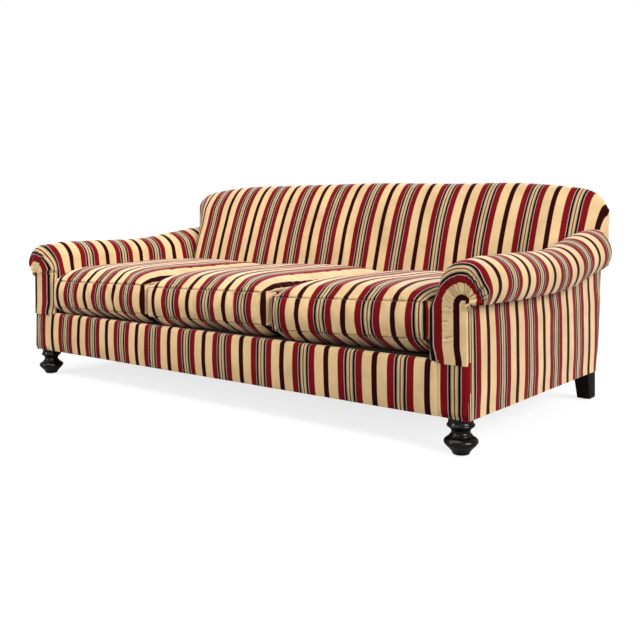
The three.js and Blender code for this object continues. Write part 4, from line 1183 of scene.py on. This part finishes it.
def inflate(piece, seam, frames=20):
    """Cloth simulation with pressure inside; seams are held"""
    before = np.array([v.co for v in piece.data.vertices])
    group = piece.vertex_groups.new(name="seams")
    group.add([int(i) for i in np.flatnonzero(seam)], 1.0, "REPLACE")
    cloth = piece.modifiers.new("Cloth", "CLOTH")
    for name, value in CLOTH.items():
        setattr(cloth.settings, name, value)
    cloth.settings.effector_weights.gravity = 0.0
    cloth.collision_settings.use_collision = False
    cloth.point_cache.frame_start = 1
    cloth.point_cache.frame_end = frames
    scene = bpy.context.scene
    for number in range(1, frames + 1):
        scene.frame_set(number)
    graph = bpy.context.evaluated_depsgraph_get()
    shown = piece.evaluated_get(graph).to_mesh()
    after = np.array([v.co for v in shown.vertices])
    piece.evaluated_get(graph).to_mesh_clear()
    piece.modifiers.remove(cloth)
    piece.vertex_groups.remove(group)
    scene.frame_set(1)
    move = after - before
    limit = np.minimum(1.0, BLOWN_UP / np.maximum(np.linalg.norm(move, axis=1), 1e-9))
    piece.data.vertices.foreach_set("co", (before + move * limit[:, None]).ravel())
    piece.data.update()


def seam_distance(unit, shape):
    """Distance from each point to the nearest long seam, above or below, and a length along it"""
    s = sizes()
    spans = (s.cushion_pitch, s.cushion_rear - s.cushion_front, s.seam_high - s.seam_low)
    edge_x, edge_y, edge_z = ((1 - np.abs(places)) * (span / 2) for places, span in zip(unit.T, spans))
    away = np.where(np.abs(unit[:, 2]) > 0.9999, np.minimum(edge_x, edge_y), edge_z)
    return np.abs(away), np.where(edge_x < edge_y, shape[:, 1], shape[:, 0])


def seat_cushion(side):
    name = "seat_cushion_" + side
    unit, faces, panels = unit_box()
    swell = 0.003
    shape = cushion_shape(unit, side, swell)
    shape[:, 1] += FRONT_PLANE
    mesh = bpy.data.meshes.new(name)
    mesh.from_pydata(shape.tolist(), [], faces)
    piece = in_scene(name, mesh)
    ends = np.abs(np.abs(unit) - 1) < 1e-6
    inflate(piece, (ends.sum(axis=1) >= 2) & ends[:, 2])
    home = mesh.attributes.new("home", "FLOAT_VECTOR", "POINT")
    home.data.foreach_set("vector", unit.ravel().astype(np.float32))
    stripe_cushion(mesh, panels, shape, side)
    apply_modifier(piece, "SUBSURF", levels=1, render_levels=1)
    fuss_cushion(piece.data, side)
    rounded_off(piece, 80)
    nodes = ("cushion_casing_" + side, "cushion_filling_" + side)
    return dress(piece, striped_velvet(), "striped_velvet", side + "_cushion", *nodes)


def stripe_cushion(mesh, panels, shape, side):
    """Stripes run front to back on the panels and wrap round the side borders"""
    corners = corner_vertices(mesh)
    panel = np.repeat(panels, [p.loop_total for p in mesh.polygons])
    x = shape[corners, 0] - seat_middle(side) - BROWN_OFFSETS[side]
    x = x + CROWDED[side] * smoothstep(x, *CROWDED_FROM)
    y = shape[corners, 1] - FRONT_PLANE
    half = half_sizes()[0]
    wrap = 0.5 * (y - sizes().cushion_front)
    across = np.select(
        [panel == PANELS.index("right"), panel == PANELS.index("left")],
        [half - BROWN_OFFSETS[side] + CROWDED[side] + wrap, -half - BROWN_OFFSETS[side] - wrap], x)
    flat = (panel == PANELS.index("top")) | (panel == PANELS.index("bottom"))
    lay_cloth(mesh, joined(across, np.where(flat, y, shape[corners, 2])))


def vectors(collection, name):
    """A vector of each vertex, as rows"""
    flat = np.zeros(len(collection) * 3)
    collection.foreach_get(name, flat)
    return flat.reshape(-1, 3)


def fade(distance, width):
    return np.exp(-(distance / width) ** 2)


GROOVE, CREASE, DIMPLE = 0.0042, 0.0024, 0.0035  # how deep seams, border wrinkles and dimples are
PUCKER_LOW, PUCKER_HIGH, PUCKER_LENGTH = 0.0026, 0.0019, 0.021  # of the gathers beside the seams


def fuss_cushion(mesh, side):
    """Draws the seams in, puckers them, creases the border, paints shade into the seams and creases, and
    rests the underside on the deck
    """
    points = vectors(mesh.vertices, "co")
    normals = vectors(mesh.vertices, "normal")
    unit = vectors(mesh.attributes["home"].data, "vector")
    away, along = seam_distance(unit, points)
    x, y, z = points.T
    seed = SEATS.index(side) * 11.0
    ripple = np.sin(along * 2 * math.pi / PUCKER_LENGTH + 3.0 * grain(along * 9, seed, 0.0))
    strength = 0.45 + 0.55 * grain(along * 22, seed + 3, 1.0)
    pucker = np.where(unit[:, 2] < 0, PUCKER_LOW, PUCKER_HIGH) * ripple * strength * fade(away, 0.015)
    border = (np.abs(unit[:, 2]) < 0.99) & (unit[:, 1] < -0.95)
    wrinkle = grain(x * 26 + seed, z * 6, 2.0) * border
    # painted shade along the border's creases
    shade = 0.45 * fade(wrinkle, 0.035) * border * smoothstep(grain(x * 6, seed, 5.0), 0.10, 0.25)
    top = unit[:, 2] > 0.99
    dimple = DIMPLE * grain(x * 5 + seed, y * 5, 3.0) * top * smoothstep(away, 0.02, 0.10)
    # painted shade in the seam lines, uneven along them
    painted_shade_depth = fade(away, 0.0024) * (0.95 + 0.5 * grain(along * 60, seed + 9, 0.0))
    paint_fold_shade(mesh, np.maximum(painted_shade_depth, shade))
    crease = CREASE * wrinkle * smoothstep(away, 0.004, 0.02)
    points += normals * (crease + pucker + dimple - GROOVE * fade(away, 0.0026))[:, None]
    points[:, 2] = np.maximum(points[:, 2], deck_height(points[:, 1] - FRONT_PLANE) + 0.0015)
    half = (sizes().cushion_pitch - 0.0012) / 2
    points[:, 0] = np.clip(points[:, 0], seat_middle(side) - half, seat_middle(side) + half)
    mesh.vertices.foreach_set("co", points.ravel())
    mesh.attributes.remove(mesh.attributes["home"])
    mesh.update()


# Deck, dust sheet, feet

# dark canvas browns: partly the canvas's own colour and partly painted shade for the gap under the cushions
DECK_SHADE_BROWNS = ((0.050, 0.036, 0.026), (0.095, 0.070, 0.050))
DUST_SIDE, DUST_END, DUST_SAG = 0.004, 0.016, 0.004  # in from the CAD cloth's sides and ends; its sag
DUST_BLACKS = ((0.008, 0.008, 0.008), (0.022, 0.021, 0.021))


def deck():
    """Crowned canvas deck with a stitched line behind its front edge, coloured dark as painted shade in the
    gap under the cushions
    """
    end = sizes().seat_half - 0.007
    x, depth = np.meshgrid(np.linspace(-end, end, 120), np.linspace(0.024, 0.922, 90), indexing="ij")
    edge = smoothstep(end - np.abs(x), 0.0, 0.020)
    height = deck_height(depth) - 0.0014 - 0.0025 * bump(depth, 0.105, 0.006) - 0.004 * (1 - edge)
    height = height + 0.0016 * grain(x * 9, depth * 9, 4.0) * edge
    depth = depth + FRONT_PLANE
    piece = cloth_grid("deck_canvas", joined(x, depth, height), joined(x, depth))
    made_up(piece, 0.012, (0, 0, 1))
    canvas = plain_cloth("deck canvas", *DECK_SHADE_BROWNS, 3200.0)
    return dress(piece, canvas, "deck_canvas", FRAME_BODY, "deck_cover", "deck_insulator")


def dust_sheet():
    """Thin cloth tacked under the frame, sagging a little between the rails"""
    low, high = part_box("dust_cover")
    across = np.linspace(low.x + DUST_SIDE, high.x - DUST_SIDE, 90)
    along = np.linspace(low.y + DUST_END, high.y - DUST_END, 50)
    x, y = np.meshgrid(across, along, indexing="ij")
    sag = smoothstep(high.x - np.abs(x), 0.02, 0.25)
    sag = sag * smoothstep(y - low.y, 0.03, 0.25) * smoothstep(high.y - y, 0.03, 0.25)
    z = high.z - 0.0004 - DUST_SAG * sag + 0.0006 * grain(x * 12, y * 12, 0)
    piece = cloth_grid("dust_sheet", joined(x, y, z), joined(x, y))
    made_up(piece, 0.0006, (0, 0, -1))
    black = plain_cloth("dust cloth", *DUST_BLACKS, 4200.0)
    return dress(piece, black, "dust_cloth", FRAME_BODY, "dust_cover")


FOOT_PROFILE = (
    (0.0225, 0.0043), (0.0248, 0.0052), (0.0262, 0.0075), (0.0280, 0.0120), (0.0335, 0.0190),
    (0.0420, 0.0275), (0.0486, 0.0345), (0.0514, 0.0392), (0.0520, 0.0430), (0.0510, 0.0470),
    (0.0478, 0.0507), (0.0424, 0.0545), (0.0372, 0.0572), (0.0346, 0.0585), (0.0354, 0.0600),
    (0.0352, 0.0618), (0.0334, 0.0632), (0.0304, 0.0655), (0.0292, 0.0690), (0.0290, 0.0730),
    (0.0300, 0.0770), (0.0332, 0.0815), (0.0390, 0.0860), (0.0420, 0.0885), (0.0427, 0.0910),
    (0.0420, 0.0935), (0.0396, 0.0958), (0.0382, 0.0975), (0.0378, 0.1040), (0.0376, 0.1122),
)  # turned front foot, as (radius, height)
FOOT_SHIFTS = {"left": (0.010, -0.007), "right": (0.007, -0.007)}  # of each foot's middle from the CAD foot's
LEG_SOLE, LEG_SOLE_SIZE = (1.071, 0.987), (0.050, 0.056)  # place and depth of a rear leg's sole; its size
LEG_TOP, LEG_TOP_SIZE = (1.085, 0.935), (0.058, 0.072)
GLOSS_BLACKS = ((0.0022, 0.0018, 0.0016), (0.0036, 0.0030, 0.0027))
LEG_BLACKS = ((0.0050, 0.0036, 0.0032), (0.013, 0.0095, 0.0080))
BEECHES = ((0.42, 0.26, 0.12), (0.62, 0.42, 0.22))
JUTES = ((0.22, 0.17, 0.10), (0.42, 0.34, 0.22))
STEELS = ((0.35, (0.23, 0.23, 0.24)), (0.70, (0.42, 0.42, 0.43)))
NYLONS = ((0.30, (0.030, 0.027, 0.025)), (0.75, (0.065, 0.060, 0.055)))


def draw_up(rings):
    """Extrudes the face in hand; each ring is how far it moves, how it grows, and its middle"""
    bpy.ops.object.mode_set(mode="EDIT")
    bpy.ops.mesh.select_all(action="SELECT")
    for move, grow, middle in rings:
        bpy.ops.mesh.extrude_region_move(TRANSFORM_OT_translate={"value": move})
        bpy.ops.transform.resize(value=(*grow, 1), center_override=middle)


def front_foot(side):
    """Turned foot: a disc drawn up ring by ring, as on a lathe"""
    low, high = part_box("front_foot_" + side)
    x = (low.x + high.x) / 2 + FOOT_SHIFTS[side][0]
    y = (low.y + high.y) / 2 + FOOT_SHIFTS[side][1]
    radius, height = FOOT_PROFILE[0]
    nothing_selected()
    bpy.ops.mesh.primitive_circle_add(vertices=64, radius=radius, fill_type="NGON", location=(x, y, height))
    piece = bpy.context.object
    piece.name = "turned_foot_" + side
    place_in_mesh(piece)
    rings = []
    for wider, higher in FOOT_PROFILE[1:]:
        rings.append(((0, 0, higher - height), (wider / radius, wider / radius), (x, y, higher)))
        radius, height = wider, higher
    draw_up(rings)
    bpy.ops.mesh.inset(thickness=0.012)
    bpy.ops.object.mode_set(mode="OBJECT")
    outward(piece)
    rounded_off(piece, 50)
    gloss = wood_material("ebonised foot", *GLOSS_BLACKS, 0.22, 0.45, 0.05)
    return dress(piece, gloss, "ebonised_wood", FRAME_BODY, "front_foot_" + side)


def rear_leg(side):
    """Square tapered leg, swept back, with eased corners"""
    sign = 1 if side == "right" else -1
    low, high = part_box("rear_leg_" + side)
    sole = Vector((LEG_SOLE[0] * sign, LEG_SOLE[1] + FRONT_PLANE, low.z))
    top = Vector((LEG_TOP[0] * sign, LEG_TOP[1] + FRONT_PLANE, high.z))
    sole_size, top_size = Vector(LEG_SOLE_SIZE), Vector(LEG_TOP_SIZE)
    nothing_selected()
    bpy.ops.mesh.primitive_plane_add(size=1, location=sole)
    piece = bpy.context.object
    piece.name = "tapered_leg_" + side
    piece.scale = (*sole_size, 1)
    place_in_mesh(piece)
    steps = 5
    rings = []
    for step in range(1, steps + 1):
        before = sole_size.lerp(top_size, (step - 1) / steps)
        after = sole_size.lerp(top_size, step / steps)
        grow = (after.x / before.x, after.y / before.y)
        rings.append(((top - sole) / steps, grow, sole.lerp(top, step / steps)))
    draw_up(rings)
    bpy.ops.object.mode_set(mode="OBJECT")
    apply_modifier(piece, "BEVEL", width=0.0022, segments=3, limit_method="ANGLE")
    outward(piece)
    rounded_off(piece, 40)
    return dress(piece, leg_finish(), "ebonised_wood", FRAME_BODY, "rear_leg_" + side)


def leg_finish():
    return wood_material("ebonised leg", *LEG_BLACKS, 0.42, 0.0, 0.10)


def finish_cad_nodes():
    """Every carried-over piece gets its finish"""
    beech = (
        wood_material("beech across", *BEECHES, 0.5, scale=(0.08, 1.0, 1.0)),
        wood_material("beech along", *BEECHES, 0.5, scale=(1.0, 0.08, 1.0)),
        wood_material("beech upright", *BEECHES, 0.5),
    )
    steel = spotted_material("spring steel", 60.0, *STEELS, 0.25, 1.0)
    nylon = spotted_material("glide nylon", 300.0, *NYLONS, 0.4)
    finishes = {"steel": steel, "glide_nylon": nylon, "ebonised_wood": leg_finish()}
    felt = plain_cloth("felt and jute", *JUTES, 1500.0)
    slots = {part["node"]: part["material_slot"] for part in frame["record"]["subparts"]}
    for name, node in frame["nodes"].items():
        if slots[name] == "striped_velvet":
            continue
        low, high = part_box(name)
        size = list(high - low)
        node.data.materials.clear()
        if slots[name] == "beech_frame":
            node.data.materials.append(beech[size.index(max(size))])
        else:
            node.data.materials.append(finishes.get(slots[name], felt))


# Stage

CAMERA_PLACE = (2.359, -2.716, 0.740)
CAMERA_YAW = math.radians(39.203)
CAMERA_ROLL = math.radians(-0.513)
CAMERA_LENS = 47.99
CAMERA_SHIFT = -0.1742


def camera():
    data = bpy.data.cameras.new("photo camera")
    data.sensor_width = 36
    data.lens = CAMERA_LENS
    data.shift_y = CAMERA_SHIFT
    made = in_scene("photo camera", data)
    ahead = Vector((-math.sin(CAMERA_YAW), math.cos(CAMERA_YAW), 0))
    level = Vector((math.cos(CAMERA_YAW), math.sin(CAMERA_YAW), 0))
    up = Vector((0, 0, 1))
    right = level * math.cos(CAMERA_ROLL) + up * math.sin(CAMERA_ROLL)
    top = up * math.cos(CAMERA_ROLL) - level * math.sin(CAMERA_ROLL)
    turn = Matrix((right, top, -ahead)).transposed().to_4x4()
    made.matrix_world = Matrix.Translation(CAMERA_PLACE) @ turn
    bpy.context.scene.camera = made


def lamp(name, kind, ray, **settings):
    """A lamp that shines along a ray"""
    data = bpy.data.lights.new(name, kind)
    for setting, value in settings.items():
        setattr(data, setting, value)
    made = in_scene(name, data)
    made.rotation_euler = Vector(ray).to_track_quat("-Z", "Y").to_euler()
    return made


def softbox(name, place, aim, width, height, power):
    ray = Vector(aim) - Vector(place)
    made = lamp(name, "AREA", ray, shape="RECTANGLE", size=width, size_y=height, energy=power)
    made.location = place


def white_floor():
    """Grey ground for the shadows that looks white to the camera, most of all far from the sofa"""
    nothing_selected()
    bpy.ops.mesh.primitive_plane_add(size=60, location=(0, 0, -0.0005))
    floor = bpy.context.object
    floor.name = "studio_floor"
    place_in_mesh(floor)
    material, tree = blank_material("white floor")
    distance = add_node(tree, "VectorMath", {0: object_place(tree)}, "Value", operation="LENGTH")
    reach = {"Value": distance, "From Min": 1.3, "From Max": 2.6, "To Min": 0.78, "To Max": 1.0}
    far = add_node(tree, "MapRange", reach, "Result", interpolation_type="SMOOTHSTEP")
    seen = add_node(tree, "LightPath", {}, "Is Camera Ray")
    surface(tree, {
        "Base Color": (0.30, 0.30, 0.30, 1),
        "Roughness": 0.9,
        "Specular IOR Level": 0.0,
        "Emission Color": (1, 1, 1, 1),
        "Emission Strength": math_node(tree, "MULTIPLY", seen, far),
    })
    floor.data.materials.append(material)


def white_world():
    world = bpy.data.worlds.new("studio")
    bpy.context.scene.world = world
    world.use_nodes = True
    tree = world.node_tree
    seen = add_node(tree, "LightPath", {}, "Is Camera Ray")
    strength = math_node(tree, "MULTIPLY_ADD", seen, 0.60, 0.40)
    feed(tree, tree.nodes["Background"], {"Color": (1, 1, 1, 1), "Strength": strength})


# Operators

class SOFA_OT_stage(bpy.types.Operator):
    """Camera, soft lamps, white floor and background"""
    bl_idname = "sofa.stage"
    bl_label = "Studio"

    def execute(self, context):
        context.scene.view_settings.view_transform = "Standard"
        camera()
        softbox("top light", (-0.5, -1.5, 3.3), (-0.2, 0.3, 0.4), 4.0, 2.6, 86)
        lamp("right light", "SUN", (-1.0, 0.16, -0.50), energy=3.7, angle=math.radians(40))
        softbox("front light", (-2.6, -4.6, 1.7), (-0.2, 0, 0.3), 1.6, 1.2, 74)
        softbox("left box", (-1.9, -4.2, 1.5), (0, -0.4, 0.1), 0.45, 0.45, 14)
        softbox("right box", (3.4, -3.2, 1.4), (1.0, -0.5, 0.1), 0.40, 0.40, 10)
        white_floor()
        white_world()
        return {"FINISHED"}


class SOFA_OT_frame_finish(bpy.types.Operator):
    """Finishes of the frame, springs and glides"""
    bl_idname = "sofa.frame_finish"
    bl_label = "Frame finishes"

    def execute(self, context):
        finish_cad_nodes()
        return {"FINISHED"}


class SOFA_OT_feet(bpy.types.Operator):
    """Turned front feet and tapered rear legs"""
    bl_idname = "sofa.feet"
    bl_label = "Feet"

    def execute(self, context):
        for side in SIDES:
            front_foot(side)
            rear_leg(side)
        return {"FINISHED"}


class SOFA_OT_arms(bpy.types.Operator):
    """Rolled arms with pleated fronts, outside arms and corner strips"""
    bl_idname = "sofa.arms"
    bl_label = "Arms"

    def execute(self, context):
        for side in SIDES:
            arm_cover(side)
            outside_arm(side)
            corner_strip(side)
        return {"FINISHED"}


class SOFA_OT_border(bpy.types.Operator):
    """Front border, canvas deck and dust sheet"""
    bl_idname = "sofa.border"
    bl_label = "Border and deck"

    def execute(self, context):
        front_border()
        deck()
        dust_sheet()
        return {"FINISHED"}


class SOFA_OT_back(bpy.types.Operator):
    """Tight back and outside back"""
    bl_idname = "sofa.back"
    bl_label = "Back"

    def execute(self, context):
        back_cover()
        outside_back()
        return {"FINISHED"}


class SOFA_OT_cushions(bpy.types.Operator):
    """Loose seat cushions, blown up by a cloth simulation"""
    bl_idname = "sofa.cushions"
    bl_label = "Seat cushions"

    def execute(self, context):
        for side in SEATS:
            seat_cushion(side)
        return {"FINISHED"}


class SOFA_PT_panel(bpy.types.Panel):
    """Lists the sofa's pieces, sizes and colours"""
    bl_idname = "SOFA_PT_panel"
    bl_label = "Roll Arm Sofa"
    bl_space_type = "VIEW_3D"
    bl_region_type = "UI"
    bl_category = "Sofa"

    def draw(self, context):
        for operator in OPERATORS:
            self.layout.operator(operator.bl_idname)
        for group in (context.scene.sofa_sizes, context.scene.sofa_velvet):
            box = self.layout.box()
            for name in group.bl_rna.properties.keys():
                if name not in ("rna_type", "name"):
                    box.prop(group, name)


OPERATORS = (
    SOFA_OT_stage, SOFA_OT_frame_finish, SOFA_OT_feet, SOFA_OT_arms,
    SOFA_OT_border, SOFA_OT_back, SOFA_OT_cushions,
)
CLASSES = (SofaSizes, VelvetColours, *OPERATORS, SOFA_PT_panel)


def register():
    for cls in CLASSES:
        bpy.utils.register_class(cls)
    bpy.types.Scene.sofa_sizes = bpy.props.PointerProperty(type=SofaSizes)
    bpy.types.Scene.sofa_velvet = bpy.props.PointerProperty(type=VelvetColours)


def unregister():
    del bpy.types.Scene.sofa_velvet
    del bpy.types.Scene.sofa_sizes
    for cls in reversed(CLASSES):
        bpy.utils.unregister_class(cls)


def main():
    register()
    bpy.ops.sofa.stage()
    bpy.ops.sofa.frame_finish()
    bpy.ops.sofa.feet()
    bpy.ops.sofa.arms()
    bpy.ops.sofa.border()
    bpy.ops.sofa.back()
    bpy.ops.sofa.cushions()
    nothing_selected()
    bpy.context.view_layer.update()


if __name__ == "__main__":
    main()
